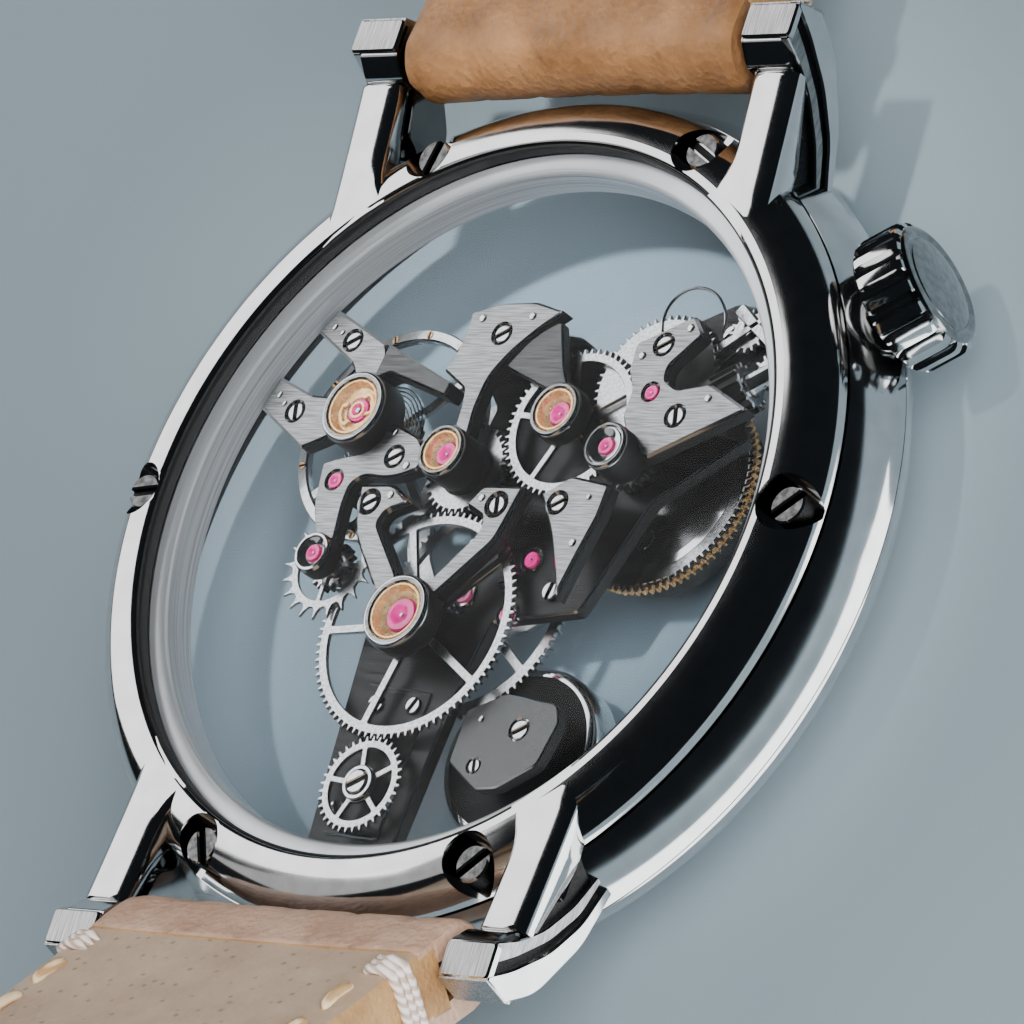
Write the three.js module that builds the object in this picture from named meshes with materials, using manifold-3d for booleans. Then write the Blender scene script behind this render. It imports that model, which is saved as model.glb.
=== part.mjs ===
// A mechanical wristwatch with an open movement, lying on its front crystal.
// Millimetres. +Z points out of the case back, -Y to 12 o'clock, +X to 3 o'clock.
// The origin is the middle of the front crystal's flat face.
import * as THREE from "three";
import { mergeVertices } from "three/addons/utils/BufferGeometryUtils.js";
import Module from "manifold-3d";

// Case
const RING_INNER = 17.3;
const RING_OUTER = 20.0;
const RING_TOP = 9.2;
const RING_BASE = 7.6;
const CASE_RADIUS = 21.15;
const CAVITY_RADIUS = 19.2;
const BEZEL_TOP = 4.78;
const RING_SCREW_CIRCLE = 18.72;
const RING_SCREW_ANGLES = [0, 65.24, 114.76, 180, 245.24, 294.76];
const LUG_INNER_X = 10.08;
const LUG_OUTER_X = 12.85;
const BAR_Y = 21.9;
const BAR_Z = 9.1;
const BAR_RADIUS = 0.85;
const PIVOT_RADIUS = 0.4;
const ROLL_RADIUS = 2.15;

// Crown, on an axis 30 degrees from 3 o'clock
const CROWN_ANGLE = Math.PI / 6;
const CROWN_Z = 5.7;
const CROWN_RADIUS = 3.15;
const CROWN_BASE = 21.3;
const CROWN_FACE = 23.7;
const CROWN_FLUTES = 18;
const STEM_INNER = 12.2;

// Levels of the movement
const BRIDGE_TOP = 7.1;
const BRIDGE_BASE = 6.35;
const WHEEL_TOP = 6.06;
const WHEEL_BASE = 5.84;
const PLATE_TOP = 5.3;
const PLATE_BASE = 4.6;

// Gears: one module for the whole train
const MODULE = 0.124;
const ADDENDUM = 0.7 * MODULE;
const DEDENDUM = 1.25 * MODULE;
const TURN = 2 * Math.PI;
const ROUND = 36;

// Strap
const STRAP_WIDTH = 19.2;
const STRAP_END_WIDTH = 16;
const STRAP_THICK = 3.9;
const STRAP_END_THICK = 2.6;
const SHORT_LENGTH = 75;
const LONG_LENGTH = 115;

const wasm = await Module();
wasm.setup();

const STEEL = { color: 0xb9bcc0, metalness: 1, roughness: 0.25 };
const POLISHED = { color: 0xd8dadd, metalness: 1, roughness: 0.06 };
const BRUSHED = { color: 0xa8abae, metalness: 1, roughness: 0.35 };
const DARK = { color: 0x2b2c2f, metalness: 1, roughness: 0.4 };
const GOLD = { color: 0xd9a566, metalness: 1, roughness: 0.15 };
const GLASS = { color: 0xe8f0f2, metalness: 0, roughness: 0.02, transparent: true, opacity: 0.25 };
const LEATHER = { color: 0xb07a4a, metalness: 0, roughness: 0.6 };

const watch = new THREE.Group();

// A closed geometry as a manifold solid with its faces turned outwards.
function solid(geometry) {
  const bare = geometry.clone();
  bare.deleteAttribute("normal");
  bare.deleteAttribute("uv");
  const merged = mergeVertices(bare, 1e-4);
  const corners = [];
  for (let i = 0; i < merged.index.count; i += 3) {
    const [a, b, c] = [0, 1, 2].map((k) => merged.index.getX(i + k));
    if (a !== b && b !== c && c !== a) corners.push([a, b, c]);
  }
  const build = (triangles) =>
    new wasm.Manifold(
      new wasm.Mesh({
        numProp: 3,
        vertProperties: merged.attributes.position.array,
        triVerts: new Uint32Array(triangles.flat()),
      }),
    );
  const made = build(corners);
  return made.volume() > 0 ? made : build(corners.map(([a, b, c]) => [a, c, b]));
}

// Adds a solid to the watch as one named mesh.
function add(name, body, finish) {
  const { vertProperties, triVerts } = body.getMesh();
  const geometry = new THREE.BufferGeometry();
  geometry.setAttribute("position", new THREE.BufferAttribute(new Float32Array(vertProperties), 3));
  geometry.setIndex(new THREE.BufferAttribute(new Uint32Array(triVerts), 1));
  geometry.computeVertexNormals();
  const mesh = new THREE.Mesh(geometry, new THREE.MeshStandardMaterial(finish));
  mesh.name = name;
  watch.add(mesh);
}

const union = (solids) => solids.reduce((a, b) => a.add(b));
const carve = (body, cuts) => cuts.reduce((a, b) => a.subtract(b), body);

// A profile of [radius, z] points turned about a vertical axis through x, y.
function turned(profile, x = 0, y = 0, segments = 16) {
  const points = [...profile, profile[0]].map(([r, z]) => new THREE.Vector2(r, z));
  return solid(new THREE.LatheGeometry(points, segments).rotateX(Math.PI / 2).translate(x, y, 0));
}

const pin = (x, y, radius, z0, z1, segments = 10) =>
  turned([[0, z0], [radius, z0], [radius, z1], [0, z1]], x, y, segments);

const collar = (x, y, inner, outer, z0, z1, segments = 16) =>
  turned([[inner, z0], [outer, z0], [outer, z1], [inner, z1]], x, y, segments);

// A profile of [radius, distance] points turned about the crown's axis.
function alongCrown(profile, segments = 24) {
  const points = [...profile, profile[0]].map(([r, d]) => new THREE.Vector2(r, d));
  const geometry = new THREE.LatheGeometry(points, segments).rotateZ(-Math.PI / 2);
  return solid(geometry.rotateZ(CROWN_ANGLE).translate(0, 0, CROWN_Z));
}

const outline = (points) => new THREE.Shape(points.map(([x, y]) => new THREE.Vector2(x, y)));

function extruded(shape, z0, z1) {
  const how = { depth: z1 - z0, bevelEnabled: false, curveSegments: 8 };
  return solid(new THREE.ExtrudeGeometry(shape, how).translate(0, 0, z0));
}

const plate = (points, z0 = BRIDGE_BASE, z1 = BRIDGE_TOP) => extruded(outline(points), z0, z1);

// A side profile of [y, z] points extruded along X.
function sidePlate(points, x0, x1) {
  const geometry = new THREE.ExtrudeGeometry(outline(points), { depth: x1 - x0, bevelEnabled: false });
  geometry.applyMatrix4(new THREE.Matrix4().set(0, 0, 1, x0, 1, 0, 0, 0, 0, 1, 0, 0, 0, 0, 0, 1));
  return solid(geometry);
}

// A round bar along X through y, z; its geometry is centred on x = 0.
const crossBar = (radius, length, y = 0, z = 0) =>
  new THREE.CylinderGeometry(radius, radius, length, 16).rotateZ(Math.PI / 2).translate(0, y, z);

// ---- Case ----

const mirroredY = (points) => points.map(([y, z]) => [-y, z]);

// Both ends and both sides of the case carry one copy of what is drawn for the +X, +Y corner.
function atLugs(points, x0, x1) {
  return [points, mirroredY(points)].flatMap((profile) => [
    sidePlate(profile, x0, x1),
    sidePlate(profile, -x1, -x0),
  ]);
}

const LEG_PROFILE = [
  [13.4, 8.0], [13.4, 9.1], [16.5, 9.5], [20.2, 9.83], [20.2, 9.1], [17.2, 8.6], [16.8, 8.0],
];
const LUG_PROFILE = [
  [15.2, 5.3], [15.2, 7.5], [17.9, 7.55], [18.2, 8.4], [20.3, 8.85], [20.35, 10.0],
  [21.3, 11.07], [23.0, 11.0], [23.4, 9.4], [22.4, 7.9], [19.5, 6.0],
];

function backRing() {
  const ring = turned(
    [
      [RING_INNER, RING_BASE], [RING_OUTER - 0.1, RING_BASE], [RING_OUTER, 7.9], [19.6, 8.5],
      [18.7, 9.0], [17.7, 9.22], [RING_INNER, RING_TOP],
    ],
    0, 0, ROUND,
  );
  const bore = pin(0, 0, RING_INNER, 6, 10, ROUND);
  const legs = atLugs(LEG_PROFILE, LUG_INNER_X + 0.2, LUG_OUTER_X - 0.05);
  const wells = RING_SCREW_ANGLES.map((degrees) => {
    const angle = (degrees * Math.PI) / 180;
    return pin(RING_SCREW_CIRCLE * Math.cos(angle), RING_SCREW_CIRCLE * Math.sin(angle), 1.3, 7.0, 9.6);
  });
  return carve(union([ring, ...legs]), [bore, ...wells]);
}

function caseMiddle() {
  const band = turned(
    [
      [CAVITY_RADIUS, 4.85], [CASE_RADIUS, 4.85], [CASE_RADIUS, 5.6], [20.9, 6.5], [20.3, 7.55],
      [17.4, 7.55], [17.4, 6.4], [CAVITY_RADIUS, 6.2],
    ],
    0, 0, ROUND,
  );
  const lugs = atLugs(LUG_PROFILE, LUG_INNER_X, LUG_OUTER_X);
  const stemHole = alongCrown([[0, 15], [0.84, 15], [0.84, 24], [0, 24]], 16);
  const pivotHoles = [-1, 1].map((side) => {
    return solid(crossBar(PIVOT_RADIUS + 0.05, 2 * LUG_INNER_X + 2, side * BAR_Y, BAR_Z));
  });
  return carve(union([band, ...lugs]), [stemHole, ...pivotHoles]);
}

function buildCase() {
  add("case_middle", caseMiddle(), BRUSHED);
  add("back_ring", backRing(), POLISHED);
  RING_SCREW_ANGLES.forEach((degrees, i) => {
    const angle = (degrees * Math.PI) / 180;
    const [x, y] = [RING_SCREW_CIRCLE * Math.cos(angle), RING_SCREW_CIRCLE * Math.sin(angle)];
    add("ring_screw_" + (i + 1), pin(x, y, 0.95, 7.62, 8.72), STEEL);
  });
  add(
    "inner_flange",
    turned([[16.25, 6.45], [17.25, 6.45], [17.25, 8.25], [16.3, 8.25]], 0, 0, ROUND),
    BRUSHED,
  );
  add(
    "rear_crystal",
    turned([[0, 8.3], [17.2, 8.3], [17.2, 8.95], [16.35, 9.15], [0, 9.15]], 0, 0, ROUND),
    GLASS,
  );
  add(
    "front_bezel",
    turned(
      [[19.4, 3.3], [19.9, 3.1], [20.5, 3.4], [21.0, 4.2], [21.12, BEZEL_TOP], [19.4, BEZEL_TOP]],
      0, 0, ROUND,
    ),
    POLISHED,
  );
  add(
    "front_crystal",
    turned(
      [
        [0, 0], [15, 0], [17.9, 0.6], [19.3, 3.0], [19.3, 4.7], [18.4, 4.7], [18.4, 3.0], [17.1, 1.4],
        [14.8, 0.9], [0, 0.9],
      ],
      0, 0, ROUND,
    ),
    GLASS,
  );
  add("crown_tube", alongCrown([[0.58, 17.6], [0.78, 17.6], [0.78, 21.2], [0.58, 21.2]], 16), STEEL);
  for (const [name, side] of [["spring_bar_12", -1], ["spring_bar_6", 1]]) {
    const body = solid(crossBar(BAR_RADIUS, 2 * LUG_INNER_X - 0.06, side * BAR_Y, BAR_Z));
    const pivots = solid(crossBar(PIVOT_RADIUS, 2 * LUG_INNER_X + 1.6, side * BAR_Y, BAR_Z));
    add(name, body.add(pivots), STEEL);
  }
}

// ---- Crown and winding work ----

// A toothed ring as a shape: tips and roots alternate round the pitch circle.
function toothedShape(teeth, phase, pitch = (MODULE * teeth) / 2) {
  const points = [];
  for (let k = 0; k < teeth; k += 1) {
    const tip = phase + (k * TURN) / teeth;
    const root = tip + TURN / (2 * teeth);
    points.push([(pitch + ADDENDUM) * Math.cos(tip), (pitch + ADDENDUM) * Math.sin(tip)]);
    points.push([(pitch - DEDENDUM) * Math.cos(root), (pitch - DEDENDUM) * Math.sin(root)]);
  }
  return outline(points);
}

// A shape drawn round the crown's axis, extruded between two distances along it.
function extrudedAlongCrown(shape, from, to) {
  const how = { depth: to - from, bevelEnabled: false, curveSegments: 6 };
  const geometry = new THREE.ExtrudeGeometry(shape, how).rotateY(Math.PI / 2).translate(from, 0, 0);
  return solid(geometry.rotateZ(CROWN_ANGLE).translate(0, 0, CROWN_Z));
}

function crownBody() {
  const points = [];
  for (let i = 0; i < CROWN_FLUTES; i += 1) {
    const flute = [[-0.36, CROWN_RADIUS], [0.36, CROWN_RADIUS], [0.5, CROWN_RADIUS - 0.3]];
    for (const [share, radius] of flute) {
      const angle = ((i + share) * TURN) / CROWN_FLUTES;
      points.push([radius * Math.cos(angle), radius * Math.sin(angle)]);
    }
  }
  const grip = extrudedAlongCrown(outline(points), CROWN_BASE, CROWN_FACE);
  const dome = alongCrown([
    [0, CROWN_FACE - 0.2], [2.7, CROWN_FACE - 0.2], [2.6, CROWN_FACE], [1.4, CROWN_FACE + 0.3],
    [0, CROWN_FACE + 0.4],
  ]);
  return grip.add(dome);
}

function windingPinion() {
  const shape = toothedShape(14, 0, 1.15);
  shape.holes.push(new THREE.Path().absarc(0, 0, 0.58, 0, TURN, true));
  return extrudedAlongCrown(shape, 12.5, 14);
}

function buildCrown() {
  add("crown", crownBody(), POLISHED);
  add("winding_stem", alongCrown([[0, STEM_INNER], [0.5, STEM_INNER], [0.5, 21.25], [0, 21.25]], 12), STEEL);
  add("winding_pinion", windingPinion(), STEEL);
}

// ---- Gear train ----

// Where a gear stands: its neighbour's place, moved by the two pitch radii along a bearing.
function meshWith(neighbour, teeth, bearingDegrees, neighbourTeeth = neighbour.teeth) {
  const bearing = (bearingDegrees * Math.PI) / 180;
  const reach = (MODULE * (teeth + neighbourTeeth)) / 2;
  const share = ((((bearing - neighbour.phase) * neighbourTeeth) / TURN) % 1 + 1) % 1;
  return {
    x: neighbour.x + reach * Math.cos(bearing),
    y: neighbour.y + reach * Math.sin(bearing),
    teeth,
    phase: bearing + Math.PI - (TURN * (0.5 - share)) / teeth,
  };
}

const LARGE = { x: -2.28, y: -4.98, teeth: 88, phase: 0 };
const CENTRE = meshWith(LARGE, 35, 90);
const SMALL = meshWith(LARGE, 36, 268.9);
const ESCAPE = meshWith(LARGE, 18, 156);
const UPPER = meshWith(CENTRE, 57, 24.5);
const BARREL = meshWith(UPPER, 18, -26);
const THIRD = meshWith({ ...CENTRE, phase: 0 }, 86, -76.5, 13);
const ESCAPE_TIP = 2.75;
const BARREL_2 = { x: 4.0, y: -10.0 };
const CROWN_WHEEL = { x: 6.7, y: 7.1 };
const BALANCE = { x: -8.38, y: 4.74 };
const PALLET = { x: -8.8, y: 1.4 };

// A window between two spokes of a wheel.
function spokeWindow(hub, rim, from, to, halfSpoke) {
  const points = [];
  for (const [radius, steps, first, last] of [[rim, 4, from, to], [hub, 1, to, from]]) {
    const inset = Math.sign(last - first) * Math.asin(halfSpoke / radius);
    for (let i = 0; i <= steps; i += 1) {
      const angle = first + inset + ((last - first - 2 * inset) * i) / steps;
      points.push([radius * Math.cos(angle), radius * Math.sin(angle)]);
    }
  }
  return new THREE.Path(points.map(([x, y]) => new THREE.Vector2(x, y)));
}

function spokedWheel({ x, y, teeth, phase }, { spokes, first, hub, halfSpoke, z0, z1 }) {
  const shape = toothedShape(teeth, phase);
  const rim = (MODULE * teeth) / 2 - DEDENDUM - 0.35;
  for (let i = 0; i < spokes; i += 1) {
    const from = (first * Math.PI) / 180 + (i * TURN) / spokes;
    shape.holes.push(spokeWindow(hub, rim, from, from + TURN / spokes, halfSpoke));
  }
  return extruded(shape, z0, z1).translate([x, y, 0]);
}

function toothedPinion({ x, y }, teeth, phase, z0, z1) {
  return extruded(toothedShape(teeth, phase), z0, z1).translate([x, y, 0]);
}

function escapeWheel() {
  const points = [];
  for (let k = 0; k < 20; k += 1) {
    const angle = (k * TURN) / 20;
    points.push([ESCAPE_TIP * Math.cos(angle), ESCAPE_TIP * Math.sin(angle)]);
    const root = [0.8 * ESCAPE_TIP, angle + 0.12];
    points.push([root[0] * Math.cos(root[1]), root[0] * Math.sin(root[1])]);
  }
  const shape = outline(points);
  for (let i = 0; i < 4; i += 1) {
    shape.holes.push(spokeWindow(0.6, 1.75, (i * TURN) / 4, ((i + 1) * TURN) / 4, 0.14));
  }
  const wheel = extruded(shape, 6.12, 6.27).translate([ESCAPE.x, ESCAPE.y, 0]);
  const pinion = toothedPinion(ESCAPE, 18, ESCAPE.phase, WHEEL_BASE - 0.1, 6.2);
  return union([wheel, pinion, pin(ESCAPE.x, ESCAPE.y, 0.25, 5.45, 7.2)]);
}

function barrelOne() {
  const { x, y } = BARREL;
  const tip = 5.15;
  const drum = turned(
    [
      [0, 1.95], [4.6, 1.95], [4.6, 3.3], [tip, 3.35], [tip, 3.62], [4.9, 3.68], [tip, 3.74],
      [tip, 3.95], [0, 3.95],
    ],
    x, y, 32,
  );
  return union([drum, pin(x, y, 0.7, 3.9, 6.9), toothedPinion(BARREL, 18, BARREL.phase, 5.7, WHEEL_TOP)]);
}

function palletFork() {
  const { x, y } = PALLET;
  const fork = plate(
    [
      [x - 2.0, y - 1.0], [x - 1.5, y - 1.35], [x, y - 0.5], [x + 1.7, y - 1.3], [x + 2.1, y - 0.95],
      [x + 0.3, y + 0.3], [x + 0.35, y + 2.2], [x - 0.05, y + 2.2], [x - 0.35, y + 0.3],
    ],
    5.88, 6.04,
  );
  return union([fork, pin(x, y, 0.25, 5.45, 6.3)]);
}

function balanceWheel() {
  const { x, y } = BALANCE;
  const rim = collar(x, y, 4.75, 5.35, 4.62, 5.1, 30);
  const arms = [0, 1].map((i) => {
    const arm = new THREE.BoxGeometry(9.8, 0.5, 0.25).rotateZ(0.7 + (i * Math.PI) / 2);
    return solid(arm.translate(x, y, 4.86));
  });
  return union([rim, ...arms, pin(x, y, 0.45, 3.6, 5.9), pin(x, y, 0.2, 5.8, 7.1)]);
}

// The hairspring: an open spiral strip, drawn out along its own centre line.
function hairspring() {
  const [turns, inner, outer, half] = [3, 0.62, 2.3, 0.05];
  const steps = 48;
  const edge = (offset) =>
    Array.from({ length: steps + 1 }, (_, i) => {
      const radius = inner + ((outer - inner) * i) / steps + offset;
      const angle = (turns * TURN * i) / steps;
      return [BALANCE.x + radius * Math.cos(angle), BALANCE.y + radius * Math.sin(angle)];
    });
  return plate([...edge(half), ...edge(-half).reverse()], 5.35, 5.6);
}

function buildTrain() {
  const train = { hub: 0.8, halfSpoke: 0.25, z0: WHEEL_BASE, z1: WHEEL_TOP };
  const large = spokedWheel(LARGE, { ...train, spokes: 5, first: 41 });
  add("large_wheel", union([large, pin(LARGE.x, LARGE.y, 0.5, 5.35, 6.3)]), STEEL);
  const small = spokedWheel(SMALL, { ...train, spokes: 5, first: 30, halfSpoke: 0.15 });
  add("small_wheel", union([small, pin(SMALL.x, SMALL.y, 0.5, 5.35, 6.4)]), STEEL);
  const upper = spokedWheel(UPPER, { ...train, spokes: 5, first: 30, halfSpoke: 0.2 });
  add("upper_wheel", union([upper, pin(UPPER.x, UPPER.y, 0.4, 5.35, 6.3)]), STEEL);
  const third = spokedWheel(THIRD, { ...train, spokes: 5, first: -37, z0: 4.05, z1: 4.3 });
  add("third_wheel", union([third, pin(THIRD.x, THIRD.y, 0.5, 2.6, 4.5)]), STEEL);
  add(
    "centre_wheel",
    union([
      toothedPinion(CENTRE, 35, CENTRE.phase, 5.55, WHEEL_TOP),
      toothedPinion(CENTRE, 13, 0, 3.95, 4.4),
      pin(CENTRE.x, CENTRE.y, 0.5, 2.0, 6.3),
    ]),
    STEEL,
  );
  add("escape_wheel", escapeWheel(), STEEL);
  add("barrel_1", barrelOne(), BRUSHED);
  const drum = turned(
    [[0, 1.95], [3.9, 1.95], [4.2, 2.4], [4.2, 3.7], [3.9, 3.95], [0, 3.95]],
    BARREL_2.x, BARREL_2.y, 24,
  );
  add("barrel_2", drum, DARK);
  const winding = toothedShape(52, 0, 3.4);
  winding.holes.push(new THREE.Path().absarc(0, 0, 0.6, 0, TURN, true));
  add("crown_wheel", extruded(winding, 5.45, 5.7).translate([CROWN_WHEEL.x, CROWN_WHEEL.y, 0]), STEEL);
  add("pallet_fork", palletFork(), STEEL);
  add("balance_wheel", balanceWheel(), STEEL);
  add("hairspring", hairspring(), STEEL);
}

// ---- Plate and bridges ----

// A steel setting round a jewel, and the gold cup pressed inside it.
const setting = (place, outer, top) => collar(place.x, place.y, 0.78 * outer, outer, BRIDGE_BASE, top);

function goldCup(place, outer, top) {
  const rim = 0.78 * outer - 0.04;
  return turned(
    [[0.35, 6.5], [rim, 6.5], [rim, top - 0.05], [rim - 0.15, top - 0.05], [0.5 * rim, 6.9], [0.35, 6.9]],
    place.x, place.y, 16,
  );
}

const ESCAPE_SETTING = { outer: 1.0, top: 7.7 };
const SETTINGS = {
  balance: { place: BALANCE, outer: 1.8, top: 8.05 },
  centre: { place: CENTRE, outer: 1.3, top: 8.05 },
  upper: { place: UPPER, outer: 1.37, top: 7.4 },
  lower: { place: LARGE, outer: 1.8, top: 7.6 },
  barrel: { place: BARREL, outer: 1.15, top: 8.1 },
  escape: { place: ESCAPE, ...ESCAPE_SETTING },
};

const stemClearance = () => alongCrown([[0, 11.8], [1.5, 11.8], [1.5, 24], [0, 24]], 12);

function mainPlate() {
  const body = plate(
    [
      [-4.0, 9.7], [-1.9, 10.1], [1.2, 9.6], [3.2, 8.4], [9.5, 11.2], [11.6, 10.9], [14.2, 7.0],
      [13.2, 5.3], [8.3, 1.6], [6.1, -3.8], [1.4, -4.4], [0.6, -8.0], [-0.2, -15.9], [-5.2, -15.4],
      [-5.8, -4.7], [-4.9, -3.4], [-1.2, -1.9], [-0.8, 0.2], [-4.0, 1.6], [-4.2, 3.6], [-2.4, 6.0],
      [-4.3, 7.3],
    ],
    PLATE_BASE, PLATE_TOP,
  );
  const holes = [
    pin(CENTRE.x, CENTRE.y, 0.7, 4, 6), pin(BARREL.x, BARREL.y, 1.0, 4, 6),
    pin(THIRD.x, THIRD.y, 0.7, 4, 4.9), pin(BALANCE.x, BALANCE.y, 5.6, 4, 6, 30),
    stemClearance(),
  ];
  return carve(body, holes);
}

function balanceBridge() {
  const { place, outer, top } = SETTINGS.balance;
  const legs = [
    plate([[-12.1, 10.0], [-8.4, 8.3], [-8.2, 7.3], [-8.0, 6.4], [-9.6, 6.0], [-10.0, 7.5], [-13.0, 8.9]]),
    plate([[-14.2, 6.6], [-11.3, 5.3], [-9.9, 5.4], [-9.7, 3.9], [-11.6, 3.0], [-14.9, 5.0]]),
    plate([[-7.9, 8.2], [-3.4, 6.25], [-3.6, 5.5], [-7.7, 7.0], [-8.4, 6.4]], BRIDGE_BASE, 7.5),
  ];
  const bored = carve(union(legs), [pin(place.x, place.y, outer - 0.1, 6, 8.5, 16)]);
  return bored.add(setting(place, outer, top));
}

function escapementBridge() {
  const limb = plate([
    [-6.6, 4.4], [-4.6, 3.6], [-4.0, 2.1], [-5.1, 1.7], [-6.2, 1.6], [-7.2, 1.8], [-7.8, 1.4],
    [-7.9, 0.4], [-7.6, -1.5], [-8.9, -1.5], [-9.8, 0.4], [-10.1, 2.4], [-8.9, 2.6], [-7.6, 2.9],
    [-6.9, 3.5],
  ]);
  const post = setting(ESCAPE, ESCAPE_SETTING.outer, ESCAPE_SETTING.top).subtract(
    pin(ESCAPE.x, ESCAPE.y, 1.5, 6, 6.72),
  );
  const bore = pin(ESCAPE.x, ESCAPE.y, 0.9, 6, 8.5);
  const wheelSpace = pin(ESCAPE.x, ESCAPE.y, 2.8, 6, 6.7);
  return carve(limb, [bore, wheelSpace]).add(post);
}

function trainBridge() {
  const arms = [
    plate([
      [-7.3, 1.3], [-5.3, 1.35], [-3.8, 0.5], [-5.2, 0.0], [-5.4, -0.5], [-2.9, -3.4], [-4.1, -4.1],
      [-6.5, -1.3],
    ]),
    plate([
      [-0.6, 0.3], [-0.1, 1.4], [2.5, 1.4], [1.9, -1.3], [-0.9, -4.3], [-1.8, -3.4], [0.6, -0.9],
      [0.6, -0.3],
    ]),
  ];
  const { place, outer, top } = SETTINGS.lower;
  const bore = pin(place.x, place.y, 0.78 * outer, 6, 8, 16);
  return union([...arms, setting(place, outer, top)]).subtract(bore);
}

function crescentBridge() {
  const body = plate([
    [-4.0, 10.0], [-1.9, 10.4], [0.1, 10.3], [1.5, 9.9], [0.3, 9.1], [-0.9, 7.9], [-1.7, 6.7],
    [-1.9, 5.1], [-1.8, 3.7], [-2.8, 3.7], [-2.9, 5.2], [-2.95, 6.2], [-4.6, 7.1], [-4.3, 7.5],
    [-3.7, 8.9],
  ]);
  const arm = plate([[-1.2, 7.3], [2.2, 6.0], [3.0, 6.2], [2.0, 7.2], [-0.2, 8.7]], BRIDGE_BASE, 6.9);
  const posts = [[-3.0, 9.2, 0.5], [0.2, 9.5, 0.4]].map(([x, y, radius]) => {
    return pin(x, y, radius, PLATE_TOP + 0.05, 6.4);
  });
  const held = [SETTINGS.centre, SETTINGS.upper];
  const rings = held.map(({ place, outer, top }) => setting(place, outer, top));
  const bores = held.map(({ place, outer }) => pin(place.x, place.y, 0.78 * outer, 6, 8.5, 16));
  return carve(union([body, arm, ...posts, ...rings]), bores);
}

function windingBridge() {
  const { place, outer, top } = SETTINGS.barrel;
  const body = plate([
    [6.0, 8.3], [9.6, 9.7], [9.9, 8.7], [8.3, 7.2], [8.5, 6.5], [9.3, 6.1], [11.1, 6.4], [13.5, 5.3],
    [8.4, 2.8], [7.1, 4.0], [6.6, 4.9], [6.7, 6.1], [6.2, 7.1],
  ]);
  const posts = [[9.7, 4.3], [CROWN_WHEEL.x, CROWN_WHEEL.y]].map(([x, y]) => {
    return pin(x, y, 0.5, PLATE_TOP + 0.05, BRIDGE_BASE + 0.05);
  });
  const ring = setting(place, outer, top);
  const bore = pin(place.x, place.y, 0.78 * outer, 6, 8.5, 16);
  return carve(union([body, ...posts, ring]), [bore, stemClearance()]);
}

function buildMovement() {
  add("main_plate", mainPlate(), DARK);
  add("balance_bridge", balanceBridge(), BRUSHED);
  add("escapement_bridge", escapementBridge(), BRUSHED);
  add("train_bridge", trainBridge(), BRUSHED);
  add("crescent_bridge", crescentBridge(), BRUSHED);
  add("winding_bridge", windingBridge(), BRUSHED);
  const sickle = plate([
    [3.4, 1.0], [5.1, 1.65], [6.1, 1.5], [7.3, 1.5], [7.2, -0.1], [6.7, -1.9], [6.2, -3.9],
    [5.6, -2.3], [4.6, -0.7],
  ]);
  add("barrel_bridge", sickle.add(pin(4.9, 0.0, 0.4, PLATE_TOP + 0.05, 6.4)), BRUSHED);
  const lowerPlate = plate(
    [
      [1.6, -8.6], [3.6, -7.7], [6.6, -8.1], [7.0, -9.0], [6.5, -11.0], [4.6, -12.2], [3.4, -12.3],
      [1.5, -11.1],
    ],
    4.65, PLATE_TOP,
  );
  add("barrel_2_bridge", lowerPlate, DARK);
  for (const name of ["balance", "centre", "upper", "lower"]) {
    const { place, outer, top } = SETTINGS[name];
    add(name + "_chaton", goldCup(place, outer, top), GOLD);
  }
}

// ---- Display side ----

function hand(x, y, length, width, degrees, z0, z1) {
  const half = width / 2;
  const shape = [[-1.6, -half], [0.8 * length, -half], [length, 0], [0.8 * length, half], [-1.6, half]];
  const blade = plate(shape, z0, z1).rotate([0, 0, degrees]).translate([x, y, 0]);
  return blade.add(pin(x, y, 0.9, z0, z1)).subtract(pin(x, y, 0.3, 0, 3));
}

function buildDisplay() {
  const { x, y } = CENTRE;
  const posts = [[x, y + 5.8], [x + 1.5, y + 5.6]].map(([px, py]) => {
    return pin(px, py, 0.4, 1.7, PLATE_BASE - 0.05);
  });
  add("hour_ring", union([collar(x, y, 5.2, 6.4, 1.55, 1.8, 30), ...posts]), STEEL);
  add("hour_hand", hand(x, y, 4.4, 0.8, -75, 1.5, 1.62), STEEL);
  add("minute_hand", hand(x, y, 5.6, 0.55, 90, 1.15, 1.27), STEEL);
}

// ---- Strap ----

// The strap's middle line in the Y-Z plane, as distance out from the bar and height above it.
// It starts along a slope, in degrees, and turns by each bend's angle between two lengths.
function strapLine(stations, slope, bends) {
  const slopeAt = (at) => {
    const turned = bends.map(([from, to, angle]) => {
      return angle * THREE.MathUtils.clamp((at - from) / (to - from), 0, 1);
    });
    return THREE.MathUtils.degToRad(turned.reduce((a, b) => a + b, slope));
  };
  const line = [{ out: 0, up: 0, slope: slopeAt(0), at: 0 }];
  for (const at of stations) {
    const last = line.at(-1);
    const middle = slopeAt((last.at + at) / 2);
    line.push({
      out: last.out + (at - last.at) * Math.cos(middle),
      up: last.up + (at - last.at) * Math.sin(middle),
      slope: slopeAt(at),
      at,
    });
  }
  return line;
}

const SHORT_STATIONS = Array.from({ length: 18 }, (_, i) => ((i + 1) * SHORT_LENGTH) / 18);
const LONG_STATIONS = [4, 7, 10, 13, 16, 19, 22, 25, 28, 31, 34, 60, 87.5, 109, 111, 113, LONG_LENGTH];
const SHORT_LINE = strapLine(SHORT_STATIONS, 40, [[8, SHORT_LENGTH, 85]]);
const LONG_LINE = strapLine(LONG_STATIONS, -6, [[4, 16, -17.6], [19.6, 33.6, 23.6]]);

const widthAt = (line, at) => THREE.MathUtils.lerp(STRAP_WIDTH, STRAP_END_WIDTH, at / line.at(-1).at);
const thickAt = (at) => THREE.MathUtils.lerp(STRAP_THICK, STRAP_END_THICK, Math.min(1, at / 34));

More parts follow.
